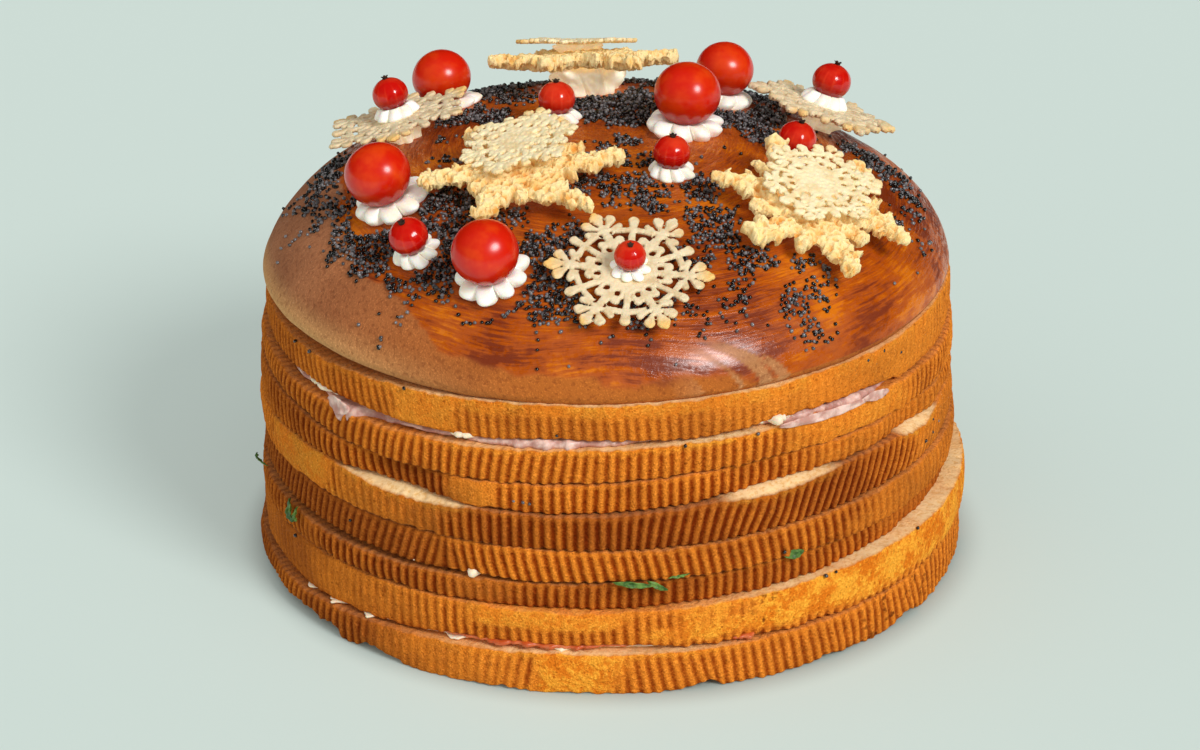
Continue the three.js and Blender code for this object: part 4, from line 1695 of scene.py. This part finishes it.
@dataclass
class Tuft:
    """The dry flower on top of a currant: a small ragged cup.

    profile is the cup's reach and height, from its foot over its edge into it, in the fruit's radius.
    """

    fruit: Fruit
    profile: Stops = ((0.16, 0.94), (0.13, 0.99), (0.15, 1.01), (0.19, 1.04), (0.15, 1.05), (0.06, 0.99))
    columns: int = 30

    def surface(self, frame: dict) -> Surface:
        """A flared cup of five petals, as a turned profile with a ragged edge.

        Args:
            frame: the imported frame.

        Returns:
            The cup's surface.
        """
        stand, radius = self.fruit.stand(frame)
        reach, level = (part[:, None] for part in np.array(self.profile).T)
        turn = turns(self.columns)
        petal = np.abs(np.cos(2.5 * turn + self.fruit.seed))
        flare = ease(level, 0.98, 1.04)
        reach = reach * (1 + 0.35 * flare * (petal - 0.6))
        level = level + flare * 0.07 * (petal - 0.5)
        return Surface.ring(stand.place(turned(reach, turn, level) * radius))


@dataclass(frozen=True)
class Stroke:
    """A rounded bar of a snowflake's half sector, in shares of the flake's radius.

    x runs along a long arm, y away from it. A bar tapers between its two half widths.
    """

    start: tuple[float, float]
    end: tuple[float, float]
    start_half: float
    end_half: float

    def distance(self, points: Array) -> Array:
        """Distance to the bar's edge.

        Args:
            points: places in the half sector.

        Returns:
            The distance of each place, negative inside the bar.
        """
        start, run = np.array(self.start), np.array(self.end) - np.array(self.start)
        share = np.clip((points - start) @ run / (run @ run), 0, 1)
        away = np.linalg.norm(points - start - share[..., None] * run, axis=-1)
        return away - (self.start_half + share * (self.end_half - self.start_half))


def on_short_arm(reach: float) -> tuple[float, float]:
    """A point of the short arm, half way between two long ones."""
    return (reach * np.cos(np.pi / 6), reach * np.sin(np.pi / 6))


LACE = (
    Stroke((0.0, 0.0), (0.01, 0.0), 0.35, 0.35),
    Stroke((0.3, 0.0), (0.8, 0.0), 0.05, 0.04),
    Stroke((0.37, 0.13), (0.44, 0.12), 0.03, 0.03),
    Stroke((0.42, 0.02), (0.475, 0.115), 0.07, 0.045),
    Stroke((0.42, 0.0), (0.56, 0.0), 0.075, 0.035),
    Stroke(on_short_arm(0.635), (0.67, 0.04), 0.03, 0.035),
    Stroke((0.63, 0.05), (0.69, 0.2), 0.042, 0.034),
    Stroke((0.74, 0.0), (0.9, 0.0), 0.045, 0.078),
    Stroke((0.88, 0.0), (0.97, 0.0), 0.076, 0.034),
    Stroke((0.74, 0.01), (0.84, 0.15), 0.04, 0.06),
    Stroke(on_short_arm(0.3), on_short_arm(0.68), 0.034, 0.03),
    Stroke(on_short_arm(0.66), on_short_arm(0.785), 0.036, 0.058),
)
LACE_SLITS = (
    Stroke((0.365, 0.072), (0.385, 0.078), 0.032, 0.028),
    Stroke((0.585, 0.055), (0.63, 0.066), 0.011, 0.015),
    Stroke((0.79, 0.048), (0.88, 0.086), 0.013, 0.008),
)
TORN_STAR = (
    Stroke((0.0, 0.0), (0.01, 0.0), 0.48, 0.48),
    Stroke((0.3, 0.0), (0.94, 0.0), 0.2, 0.08),
    Stroke((0.64, 0.0), (0.7, 0.13), 0.07, 0.04),
    Stroke((0.84, 0.0), (0.91, 0.08), 0.06, 0.045),
    Stroke(on_short_arm(0.3), on_short_arm(0.62), 0.14, 0.06),
)


@dataclass
class Flake:
    """A snowflake cut from a thin sheet: a lace wafer or a slab of torn bread.

    cell is the grid's spacing, edge_round how far the edge is rounded in, square how upright the
    edge stands, ragged how far it is torn, pore the width of its pores, pitted their depth, lumpy
    how uneven its faces are, bend how far its arms stray, knead how far all of it is pushed about,
    fat how much wider its bars are, as a share of the radius, and fray how unevenly its edge is rounded.
    """

    node: str
    slot: str
    seed: int
    strokes: tuple[Stroke, ...]
    slits: tuple[Stroke, ...]
    cell: float
    edge_round: float
    ragged: float
    pore: float
    pitted: float
    lumpy: float
    bend: float
    square: float = 2.2
    knead: float = 0.0
    fat: float = 0.0
    fray: float = 0.0

    def stand(self, frame: dict) -> tuple[Stand, float, float]:
        """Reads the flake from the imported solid.

        Args:
            frame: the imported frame.

        Returns:
            The flake's own frame with x along a long arm, its radius and its thickness.
        """
        solid = Solid(frame, self.node)
        stand = Stand(solid.middle(), solid.axis())
        local = stand.local(solid.points)
        reach = np.hypot(local[:, 0], local[:, 1])
        tips = np.arctan2(local[:, 1], local[:, 0])[reach > 0.94 * reach.max()]
        stand.turn = float(np.angle(np.exp(6j * tips).mean()) / 6)
        return stand, float(np.median(np.sort(reach)[-12:])), float(np.ptp(local[:, 2]))

    def edge_distance(self, plane: Array, radius: float) -> Array:
        """Distance to the lace's edge: that of the nearest bar after folding the sectors.

        Args:
            plane: places on the flake's plane.
            radius: the flake's radius.

        Returns:
            The distance of each place, negative inside.
        """
        spots = flat(plane[..., 0], plane[..., 1])
        stray = [uneven(spots, 8 * MM, self.seed + 50 + axis) for axis in (0, 1)]
        bent = plane + self.bend * np.stack(stray, axis=-1)
        reach = np.hypot(bent[..., 0], bent[..., 1]) / radius
        angle = np.arctan2(bent[..., 1], bent[..., 0])
        folded = np.abs((angle + np.pi / 6) % (np.pi / 3) - np.pi / 6)
        half = np.stack([reach * np.cos(folded), reach * np.sin(folded)], axis=-1)
        edge = np.min([stroke.distance(half) for stroke in self.strokes], axis=0) - self.fat
        for slit in self.slits:
            edge = np.maximum(edge, -slit.distance(half))
        torn = uneven(spots, 0.7 * self.pore, self.seed, 3)
        bite = 0.55 - cell_distance(plane, self.pore, self.seed + 1)
        return edge * radius + self.ragged * (2.2 * torn + 0.45 * bite)

    def build(self, frame: dict, finish: Material) -> None:
        """Makes the flake.

        A square grid is cut along the lace's edge: grid points near the edge are moved onto it, and
        the cells inside are kept. Their height over and under the middle plane is a rounded
        function of the distance to the edge, with bubbles and pores. A noise in space pushes every
        point about.

        Args:
            frame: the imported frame.
            finish: wafer or bread material.
        """
        stand, radius, thickness = self.stand(frame)
        ticks = np.arange(-1.06 * radius, 1.06 * radius, self.cell)
        plane = np.stack(np.meshgrid(ticks, ticks, indexing="ij"), axis=-1)
        depth = -self.edge_distance(plane, radius)
        slope = np.stack(np.gradient(depth, self.cell), axis=-1)
        slope /= np.maximum(np.linalg.norm(slope, axis=-1, keepdims=True), 0.3)
        near = np.abs(depth) < 0.72 * self.cell
        plane = plane - np.where(near[..., None], slope * depth[..., None], 0)
        depth = np.where(near, 0, depth)
        inside = depth >= 0
        kept = inside[:-1, :-1] & inside[1:, :-1] & inside[1:, 1:] & inside[:-1, 1:]
        shared = np.zeros(inside.shape, dtype=int)
        for row in (0, 1):
            for column in (0, 1):
                shared[row : row + kept.shape[0], column : column + kept.shape[1]] += kept
        spots = flat(plane[..., 0], plane[..., 1])
        solid = shared == 4
        warp = uneven(spots, 13 * MM, self.seed + 2) * 1.1 * MM
        levels = []
        pits = []
        for side, sign in enumerate((1, -1)):
            worn = ease(lattice_noise(spots, self.pore, self.seed + 30 + side), 0.3, 0.75)
            full = np.clip(depth / (self.edge_round * (1 + self.fray * worn)), 0, 1)
            swollen = (1 - (1 - full) ** self.square) ** (1 / self.square)
            half = thickness / 2 * swollen * solid
            rough = uneven(spots, self.pore, self.seed + 3 + side, 3)
            large = 1 - ease(cell_distance(plane, self.pore, self.seed + 7 + side), 0.18, 0.4)
            small = 1 - ease(cell_distance(plane, 0.5 * self.pore, self.seed + 17 + side), 0.12, 0.36)
            pit = np.maximum(large, 0.7 * small)
            carve = np.clip(1 + self.lumpy * rough - self.pitted * pit, 0.1, None)
            levels.append(warp + sign * half * carve)
            # pit marks the pores, which the bread's finish darkens as painted shade.
            pits.append(pit * np.where(solid, 1, 0.3))
        toast = ease(np.hypot(plane[..., 0], plane[..., 1]) / radius, 0.72, 1.0)
        toast = toast * ease(lattice_noise(spots, 6 * MM, self.seed + 9), 0.3, 0.75)
        surface = self.double_sheet(plane, levels, {"toast": [toast, toast], "pit": pits}, kept, shared)
        pushes = [uneven(surface.points, 1.4 * MM, self.seed + 60 + axis, 3) for axis in range(3)]
        surface.points = stand.place(surface.points + self.knead * np.stack(pushes, axis=-1))
        surface.piece(f"{self.node}_lace", finish, self.slot, self.node)

    @staticmethod
    def double_sheet(
        plane: Array, levels: list[Array], stored: dict[str, list[Array]], kept: Array, shared: Array
    ) -> Surface:
        """A top and an underside that meet at the border of the kept cells.

        Args:
            plane: grid points.
            levels: heights of the top and of the underside.
            stored: numbers of the top and of the underside.
            kept: cells that are part of the sheet.
            shared: how many kept cells meet at each point, four inside the sheet.

        Returns:
            The closed surface.
        """
        top_used = shared > 0
        low_used = shared == 4
        top_number = np.cumsum(top_used).reshape(top_used.shape) - 1
        low_number = top_used.sum() + np.cumsum(low_used).reshape(low_used.shape) - 1
        low_number = np.where(low_used, low_number, top_number)

        def corners(number: Array) -> Array:
            """The four corner numbers of every kept cell, counter-clockwise from above."""
            parts = [number[:-1, :-1], number[1:, :-1], number[1:, 1:], number[:-1, 1:]]
            return np.stack([part[kept] for part in parts], axis=-1)

        top = np.concatenate([plane[top_used], levels[0][top_used][:, None]], axis=1)
        low = np.concatenate([plane[low_used], levels[1][low_used][:, None]], axis=1)
        values = {
            name: np.concatenate([upper[top_used], lower[low_used]])
            for name, (upper, lower) in stored.items()
        }
        quads = np.concatenate([corners(top_number), corners(low_number)[:, ::-1]])
        return Surface(np.concatenate([top, low]), quads, np.empty((0, 3), dtype=int), values)


# Studio


@dataclass(frozen=True)
class Lamp:
    """A far lamp: the direction towards it, its spread in degrees, and whether gloss mirrors it."""

    name: str
    towards: tuple[float, float, float]
    spread: float
    strength: float
    in_gloss: bool


LAMPS = (
    Lamp("key", (0.52, -0.6, 0.61), 20.0, 2.1, True),
    Lamp("fill", (-0.25, -0.7, 0.67), 130.0, 1.35, False),
)


@dataclass
class Studio:
    """Floor, light and camera.

    target is what the camera looks at, from an elevation in degrees. lens and sensor are in millimetres.
    """

    target: tuple[float, float, float] = (-3.17 * MM, 0.0, 44 * MM)
    elevation: float = 25.1
    distance: float = 1.0
    lens: float = 114.15
    sensor: float = 36.0
    sky: float = 0.2
    half_floor: float = 6.0

    def build(self) -> None:
        """Makes the stage."""
        self.floor()
        self.lights()
        self.camera()

    def floor(self) -> None:
        """A plain level sheet."""
        mesh = bpy.data.meshes.new("floor")
        half = self.half_floor
        corners = [(-half, -half, 0), (half, -half, 0), (half, half, 0), (-half, half, 0)]
        mesh.from_pydata(corners, [], [(0, 1, 2, 3)])
        mesh.materials.append(FloorFinish().material())
        floor = bpy.data.objects.new("floor", mesh)
        bpy.context.scene.collection.objects.link(floor)

    def lights(self) -> None:
        """A soft key light from the right, and a wide fill and an even sky that leave no gloss."""
        for lamp in LAMPS:
            made = bpy.data.lights.new(lamp.name, "SUN")
            made.angle = np.radians(lamp.spread)
            made.energy = lamp.strength
            light = bpy.data.objects.new(lamp.name, made)
            light.visible_glossy = lamp.in_gloss
            light.rotation_euler = Vector(lamp.towards).to_track_quat("Z", "Y").to_euler()
            bpy.context.scene.collection.objects.link(light)
        world = bpy.data.worlds.new("sky")
        world.use_nodes = True
        background = world.node_tree.nodes["Background"]
        background.inputs["Color"].default_value = (1.0, 1.0, 1.0, 1.0)
        background.inputs["Strength"].default_value = self.sky
        bpy.context.scene.world = world
        world.cycles_visibility.glossy = False

    def camera(self) -> None:
        """The photo's viewpoint."""
        lens = bpy.data.cameras.new("camera")
        lens.lens = self.lens
        lens.sensor_width = self.sensor
        camera = bpy.data.objects.new("camera", lens)
        tilt = np.radians(self.elevation)
        back = Vector((0, -np.cos(tilt), np.sin(tilt)))
        camera.location = Vector(self.target) + back * self.distance
        camera.rotation_euler = back.to_track_quat("Z", "Y").to_euler()
        scene = bpy.context.scene
        scene.collection.objects.link(camera)
        scene.camera = camera
        scene.view_settings.view_transform = "Standard"


# Assembly

SLICES = (
    LoafSlice(
        "slice_1", 11,
        leans=((-70, -6), (-10, -4), (15, 12), (80, 12)),
        browns_and_shade=((-75, 0.95), (-45, 0.75), (-25, 0.3), (-5, 0.0), (20, 0.1), (70, 0.1)),
        pales=((-40, 0), (-25, 0.3), (-10, 0.7), (12, 0.6), (25, 0.1)),
        patches=(Patch(-5, 8, gold=0.85),),
        scorch=(52, 24),
        depth=0.42 * MM,
        foot=2.2 * MM,
    ),
    LoafSlice(
        "slice_2", 12,
        leans=((-70, 4), (0, 0), (60, 6)),
        browns_and_shade=((-75, 0.7), (-30, 0.45), (-5, 0.1), (15, 0), (80, 0)),
        sags=(
            (-75, 1.5), (-30, 1.4), (-24, 0.3), (5, 0.2), (12, 1.3), (17, 1.3), (22, 0.8), (28, 1.4),
            (120, 1.5),
        ),
        pales=((5, 0), (20, 0.4), (35, 0.9), (80, 0.9), (110, 0.2)),
        patches=(
            Patch(-58, 34, gold=0.0, smooth=0.65), Patch(-10, 16, low=0.55, gold=0.5),
            Patch(52, 50, low=0.2, gold=1.0),
        ),
        scorch=(25, 4),
        depth=0.42 * MM,
    ),
    LoafSlice(
        "slice_3", 13,
        leans=((-60, 3), (0, 0), (50, 6)),
        browns_and_shade=((-75, 0.8), (-30, 0.8), (0, 0.65), (40, 0.65), (75, 0.7)),
        patches=(Patch(64, 20, gold=0.05, smooth=0.5),),
    ),
    LoafSlice(
        "slice_4", 14,
        leans=((-70, -16), (-29, -15), (-25, 12), (25, 12), (60, 6)),
        browns_and_shade=((-75, 1.4), (-40, 1.2), (-26, 0.5), (-15, 0.1), (10, 0.2), (40, 0.5), (75, 0.4)),
        sags=(
            (-80, 1.5), (-30, 1.5), (-23, 0.6), (-19, 0.7), (-12, 1.5), (2, 1.2), (8, 1.2), (15, 1.6),
            (30, 1.2), (36, 1.5), (60, 1.6),
        ),
        patches=(Patch(-45, 26, gold=0.0, smooth=0.2), Patch(62, 26, gold=0.1, smooth=0.6)),
    ),
    LoafSlice(
        "slice_5", 15,
        leans=((-70, 8), (-30, 5), (0, 0), (12, -12), (24, -20), (50, -20)),
        browns_and_shade=((-75, 0.3), (-50, 0.5), (-20, 0.75), (0, 0.9), (40, 0.8), (75, 0.5)),
        patches=(
            Patch(-60, 13, gold=0.5, smooth=1.0), Patch(-38, 16, gold=0.1, smooth=0.6),
            Patch(70, 18, gold=0.15, smooth=0.6),
        ),
        bevels=(Bevel(-35, 17, 1.7), Bevel(29, 14, 1.4), Bevel(62, 9, 1.7)),
        depth=0.62 * MM,
    ),
    LoafSlice(
        "slice_6", 16,
        leans=((-60, 6), (-25, 2), (0, 0), (40, -3)),
        browns_and_shade=((-75, 0.7), (-30, 0.65), (-20, 0.2), (0, 0.3), (40, 0.4), (75, 0.4)),
        patches=(Patch(-22, 6, gold=0.12, smooth=0.8), Patch(55, 24, gold=0.1, smooth=0.5)),
    ),
    LoafSlice(
        "slice_7", 17,
        leans=((-70, -12), (-30, -10), (0, -4), (40, -3)),
        browns_and_shade=((-75, 0.55), (-30, 0.25), (0, 0.05), (40, 0.1), (75, 0.3)),
        pales=((-35, 0), (-25, 0.5), (-5, 0.5), (3, 0.8), (22, 0.9), (32, 0.4), (45, 0)),
        patches=(Patch(46, 20, gold=0.25, smooth=0.7),),
        depth=0.45 * MM,
    ),
)
BAND = LoafSlice(
    "crown_band", 18,
    leans=((-80, 16), (-35, 14), (-15, 0), (20, 0), (70, 0)),
    browns_and_shade=((-75, 0.5), (-40, 0.3), (-25, 0.25), (0, 0.4), (40, 0.26), (75, 0.25)),
    sags=(
        (-75, 2.6), (-62, 2.4), (-55, 2.0), (-46, 1.9), (-38, 2.5), (-27, 1.8), (-17, 1.0), (-9, 0.5),
        (0, 1.1), (6, 2.0), (12, 2.4), (21, 2.0), (26, 0.9), (42, 0.6), (50, 1.0), (57, 2.4), (150, 2.5),
    ),
    pales=((-100, 0.1), (-45, 0.2), (-25, 0.8), (10, 0.85), (40, 0.6), (70, 0.5), (100, 0.1)),
    patches=(
        Patch(-31, 8, gold=0.3, smooth=0.85), Patch(12, 55, low=0.78, gold=0.35, smooth=0.7),
        Patch(50, 32, gold=0.12, smooth=0.7),
    ),
    depth=0.3 * MM,
)
SEED_DRIFTS = tuple(Drift(*row) for row in (
    # Far left
    (-100, 0.82, 6, 0.76), (-92, 0.83, 6, 0.78), (-84, 0.84, 6, 0.62), (-79, 0.79, 6, 0.66),
    (-90, 0.88, 5, 0.54), (-76, 0.85, 6, 0.54), (-72, 0.77, 6, 0.6), (-64, 0.72, 6, 0.58),
    # Thick carpet at the left of the front
    (-65, 0.79, 6, 0.72), (-59, 0.77, 8, 1.4), (-61, 0.84, 5, 0.78), (-57, 0.82, 6, 0.85),
    (-52, 0.79, 8, 1.4), (-46, 0.77, 8, 1.4), (-40, 0.74, 9, 1.5), (-43, 0.82, 6, 0.95),
    (-39, 0.81, 6, 0.95), (-35, 0.77, 8, 1.5), (-31, 0.77, 8, 1.2), (-30, 0.83, 5, 0.74),
    # Its edge at the front
    (-25, 0.86, 5, 0.76), (-21, 0.86, 5, 0.76), (-18, 0.82, 6, 0.7), (-15, 0.8, 6, 0.74),
    (-11, 0.81, 8, 1.0), (-7, 0.85, 6, 0.74), (-11, 0.86, 4, 0.56), (-14, 0.76, 9, 1.2),
    (-10, 0.76, 6, 0.78), (-15, 0.7, 8, 1.0), (-11, 0.61, 7, 0.8), (-17, 0.63, 5, 0.58),
    # Round the left snowflake
    (-64, 0.53, 6, 0.56), (-58, 0.6, 6, 0.64), (-51, 0.57, 8, 0.82), (-46, 0.54, 7, 0.8),
    (-45, 0.63, 6, 0.62), (-39, 0.61, 7, 0.76), (-33, 0.57, 6, 0.6), (-28, 0.55, 6, 0.56),
    (-38, 0.7, 6, 0.62), (-76, 0.44, 5, 0.62), (-95, 0.46, 5, 0.54), (-116, 0.48, 7, 0.7),
    (-122, 0.42, 8, 0.7), (-138, 0.52, 9, 0.7), (-143, 0.45, 8, 0.66),
    # Top
    (-168, 0.33, 10, 0.95), (178, 0.31, 12, 1.3), (-170, 0.19, 8, 0.8), (155, 0.18, 9, 0.95),
    (148, 0.26, 8, 0.82), (20, 0.06, 7, 0.56), (-5, 0.19, 7, 0.57), (12, 0.19, 7, 0.62),
    (28, 0.22, 6, 0.6), (-3, 0.31, 7, 0.6), (17, 0.33, 7, 0.64), (-14, 0.38, 6, 0.54),
    (5, 0.42, 7, 0.62), (13, 0.43, 7, 0.7), (21, 0.44, 6, 0.64), (35, 0.37, 7, 0.74),
    (43, 0.4, 7, 0.76), (32, 0.47, 6, 0.6), (47, 0.27, 6, 0.58), (95, 0.25, 7, 0.62),
    (128, 0.32, 9, 0.82), (119, 0.42, 9, 1.1), (121, 0.5, 9, 1.2), (98, 0.46, 7, 0.86),
    # Right of the front
    (28, 0.56, 7, 0.66), (33, 0.58, 6, 0.6), (24, 0.64, 6, 0.62), (29, 0.66, 6, 0.62),
    (20, 0.7, 6, 0.57), (34, 0.75, 5, 0.62), (27, 0.8, 6, 0.62), (25, 0.86, 6, 0.56),
    (14, 0.86, 6, 0.54), (6, 0.87, 5, 0.56), (43, 0.84, 6, 0.54), (38, 0.88, 5, 0.52),
    (35, 0.93, 6, 0.58), (39, 0.94, 5, 0.54),
    # Right rim
    (101, 0.77, 6, 0.68), (94, 0.8, 6, 0.76), (97, 0.86, 5, 0.6), (88, 0.86, 5, 0.68),
    (80, 0.89, 6, 0.57), (75, 0.9, 6, 0.52),
    # Back
    (150, 0.66, 20, 0.85), (-145, 0.7, 18, 0.85), (-172, 0.78, 18, 0.8), (140, 0.86, 12, 0.8),
))
SIDE_SEEDS = tuple(SideSeed(*row) for row in (
    ("slice_5", 66, 0.75), ("slice_5", 66, 0.4), ("slice_5", 63, 0.35), ("slice_5", 69, 0.5),
    ("slice_7", 50, 0.95), ("slice_7", 24, 0.97), ("slice_7", 12, 0.96), ("slice_2", 57, 1.0),
    ("slice_2", 36, 1.0), ("slice_2", 38, 1.0), ("slice_4", 28, 0.1), ("slice_4", -46, 0.5),
    ("slice_2", -62, 0.9), ("crown_band", -8, 0.1), ("slice_6", -13, 0.4), ("slice_6", -14.5, 0.42),
    ("slice_6", -12, 0.36), ("crown_band", 48, 0.6), ("crown_band", 50, 0.85), ("crown_band", 55, 0.5),
    ("crown_band", 46, 0.8), ("crown_band", -62, 1.0), ("crown_band", -57, 1.0), ("crown_band", -34, 1.0),
))
FILLINGS = (
    FillingLayer("salmon_layer", "salmon", 601, 1.6, (Smear(-12, 22, 0.9, 0.5), Smear(21, 7, 0.8, 0.4))),
    FillingLayer(
        "cream_layer_1", "cream", 611, 2.2,
        (
            Smear(-8, 4, 0.4, 0.4), Smear(-57, 3, 0.2), Smear(-50, 3, 0.2), Smear(-42, 2, 0.3),
            Smear(-25, 3, 0.1), Smear(44, 5, 0.3, 0.3), Smear(33, 2, 0.2),
        ),
    ),
    FillingLayer("greens_layer", "greens", 621, 2.6),
    FillingLayer(
        "cream_layer_2", "cream", 631, 2.4,
        (Smear(-21, 3.0, 0.9, 1.6), Smear(-5, 4, 0.1), Smear(37, 3, 0.2), Smear(-32, 2, 0.1)),
    ),
    FillingLayer(
        "ham_layer", "ham", 641, 1.4,
        (Smear(-9, 20, 0.6, 1.4), Smear(33, 9, 0.7, 1.4), Smear(44, 9, 1.0, 1.6), Smear(-47, 6, 0.5, 0.8)),
    ),
    FillingLayer(
        "cream_layer_3", "cream", 651, 2.4,
        (Smear(28, 8, 1.0, 1.0), Smear(-55, 7, 0.4), Smear(-24, 4, 0.3, 0.3)),
    ),
)
LEAVES = Blades("leaf_tips", "greens", "greens_layer", "slice_3", (
    Blade(-62, 1.6, 4.5, 4.4, 3.6, 1.4, 0.6), Blade(-59.5, 1.4, 2.6, 2.6, 2.0, 1.9, 0.4),
    Blade(-78, 0.4, -1.6, -3.4, 1.3, 2.6, 0.2), Blade(4.5, 0.9, 10.5, 0.8, 1.6, 0.9, 0.4),
    Blade(8.2, 0.8, 5.0, 2.4, 1.5, 1.0, 0.3), Blade(11.5, 1.0, 5.5, -1.0, 0.8, 0.7, 0.1),
    Blade(31, 1.1, 5.4, -0.4, 2.6, 1.0, 0.5),
))
FLAPS = Blades("ham_flaps", "ham", "ham_layer", "slice_7", (
    Blade(-47.5, 1.6, 9.0, -0.6, 4.4, 1.0, 0.4, 0.45), Blade(47, 1.4, 9.0, 0.4, 2.6, 0.8, 0.3, 0.45),
    Blade(36, 0.9, 26.0, 0.2, 2.4, 0.4, 0.1, 0.25),
))


class Panettone:
    """The whole loaf. The random fields of each topping start at a number of their own."""

    def __init__(self, frame: dict) -> None:
        """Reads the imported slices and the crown.

        Args:
            frame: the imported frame.
        """
        self.frame = frame
        self.finishes = Finishes()
        low, high = (np.array(corner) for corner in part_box("crown"))
        self.dome = Dome(np.array([low[0] + DOME_REACH, high[1] - DOME_REACH]))
        self.outlines = {part.node: Outline.of_slice(Solid(frame, part.node)) for part in SLICES}
        self.outlines[BAND.node] = self.band_outline(np.array([high[0] - BAND_RADIUS, low[1] + BAND_RADIUS]))

    def build(self) -> None:
        """Makes the loaf from the foot up."""
        self.loaf()
        self.fillings()
        self.fruit()
        self.flakes()
        self.seeds()

    def loaf(self) -> None:
        """Slices, the crown's band and the dome."""
        for part in SLICES:
            part.build(self.outlines[part.node], self.finishes.crust, part.node)
        BAND.build(self.outlines[BAND.node], self.finishes.crust, "crown")
        self.dome.build(self.finishes.dome)

    def band_outline(self, middle: Array) -> Outline:
        """The crown's band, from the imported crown's lowest corners up to the dome's rim and groove.

        Args:
            middle: the band's middle on the floor plane.

        Returns:
            The band's side.
        """
        points = Solid(self.frame, "crown").points
        away = points - np.array([*middle, 0])
        outer = np.abs(np.hypot(away[:, 0], away[:, 1]) - BAND_RADIUS) < 1 * MM
        number = step_numbers(away)
        low = np.array([points[outer & (number == step), 2].min() for step in range(LOAF_STEPS)])
        angles = turns(LOAF_STEPS)
        high = self.dome.rim + self.dome.lean * np.sin(angles) - self.dome.groove_depth(np.degrees(angles))
        return Outline(middle, np.full(LOAF_STEPS, BAND_RADIUS), low, high)

    def fillings(self) -> None:
        """The edges of the fillings and what hangs out of them."""
        materials = {
            "salmon": self.finishes.salmon,
            "greens": self.finishes.greens,
            "ham": self.finishes.ham,
            "cream": self.finishes.spread,
        }
        for layer in FILLINGS:
            layer.build(self.frame, materials[layer.slot])
        for hanging in (LEAVES, FLAPS):
            hanging.build(self.outlines[hanging.below], materials[hanging.slot])

    def fruit(self) -> None:
        """Tomatoes and currants in their cream stars."""
        tufts = []
        for number in range(1, 6):
            seat = f"cream_tomato_{number}"
            CreamStar(seat, CreamShape.ROSETTE, 9, 700 + number).build(self.frame, self.finishes.cream)
            tomato = Fruit(f"tomato_{number}", seat, "tomato", 720 + number, 0.95, 5)
            tomato.build(self.frame, self.finishes.tomato)
        for number in range(1, 8):
            seat = f"cream_currant_{number}"
            CreamStar(seat, CreamShape.SEAT, 8, 740 + number).build(self.frame, self.finishes.cream)
            currant = Fruit(f"currant_{number}", seat, "currant", 760 + number, 0.92, 12)
            currant.build(self.frame, self.finishes.currant)
            tufts.append(Tuft(currant).surface(self.frame))
        names = [f"currant_{number}" for number in range(1, 8)]
        Surface.joined(tufts).piece("currant_tufts", self.finishes.tuft, "currant", *names)

    def flakes(self) -> None:
        """Lace wafers and bread snowflakes with the cream that holds them."""
        for number in range(1, 7):
            dab = CreamStar(f"cream_flake_{number}", CreamShape.DAB, 8, 800 + number)
            dab.build(self.frame, self.finishes.dab)
            on_bread = number > 3
            wafer = Flake(
                f"wafer_{number}", "wafer", 820 + 10 * number, LACE, LACE_SLITS,
                cell=0.24 * MM, edge_round=0.45 * MM, ragged=(0.44 if on_bread else 0.14) * MM,
                pore=1.5 * MM, pitted=0.3 if on_bread else 0.16, lumpy=0.35,
                bend=(2.8 if on_bread else 0.9) * MM, fat=0.022 if on_bread else 0.01,
            )
            # Wafers on the bread take the paler copy of the finish: painted light.
            wafer.build(self.frame, self.finishes.lit_top_wafer if on_bread else self.finishes.wafer)
        for number in range(4, 7):
            dab = CreamStar(f"cream_between_{number}", CreamShape.DAB, 8, 890 + number)
            dab.build(self.frame, self.finishes.dab)
            bread = Flake(
                f"bread_flake_{number}", "bread", 900 + 30 * number, TORN_STAR, (),
                cell=0.22 * MM, edge_round=0.7 * MM, ragged=0.9 * MM, pore=2.8 * MM,
                pitted=0.75, lumpy=0.5, bend=5.0 * MM, knead=1.3 * MM, fray=3.2,
            )
            bread.build(self.frame, self.finishes.bread)

    def seeds(self) -> None:
        """Poppy seeds, clear of whatever touches the dome."""
        names = [f"cream_tomato_{number}" for number in range(1, 6)]
        names += [f"cream_currant_{number}" for number in (1, 3, 4, 7)]
        names += [f"cream_flake_{number}" for number in range(1, 7)]
        footprints = []
        for name in names:
            solid = Solid(self.frame, name)
            middle = solid.middle()
            reach = np.hypot(*(solid.points - middle)[:, :2].T).max()
            footprints.append((middle[0], middle[1], reach))
        # The lighter kind is slate seeds with painted glints.
        kinds = {"dark": self.finishes.dark_seed, "slate_and_glint": self.finishes.slate_and_glint_seed}
        strays = np.array([self.on_side(seed) for seed in SIDE_SEEDS])
        PoppySeeds(SEED_DRIFTS).build(self.dome, np.array(footprints), strays, kinds)

    def on_side(self, seed: SideSeed) -> Array:
        """Puts a stray seed on its slice's crust.

        Args:
            seed: where it lies.

        Returns:
            Its place.
        """
        outline = self.outlines[seed.node]
        angle = np.radians([seed.angle])
        radius, low, high = outline.at(angle)
        return around(angle, radius + 0.1 * MM, low + (high - low) * seed.share, outline.middle)[0]


def main() -> None:
    """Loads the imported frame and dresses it."""
    logging.basicConfig(level=logging.INFO, format="%(name)s %(message)s")
    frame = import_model()
    Panettone(frame).build()
    Studio().build()


if __name__ == "__main__":
    main()
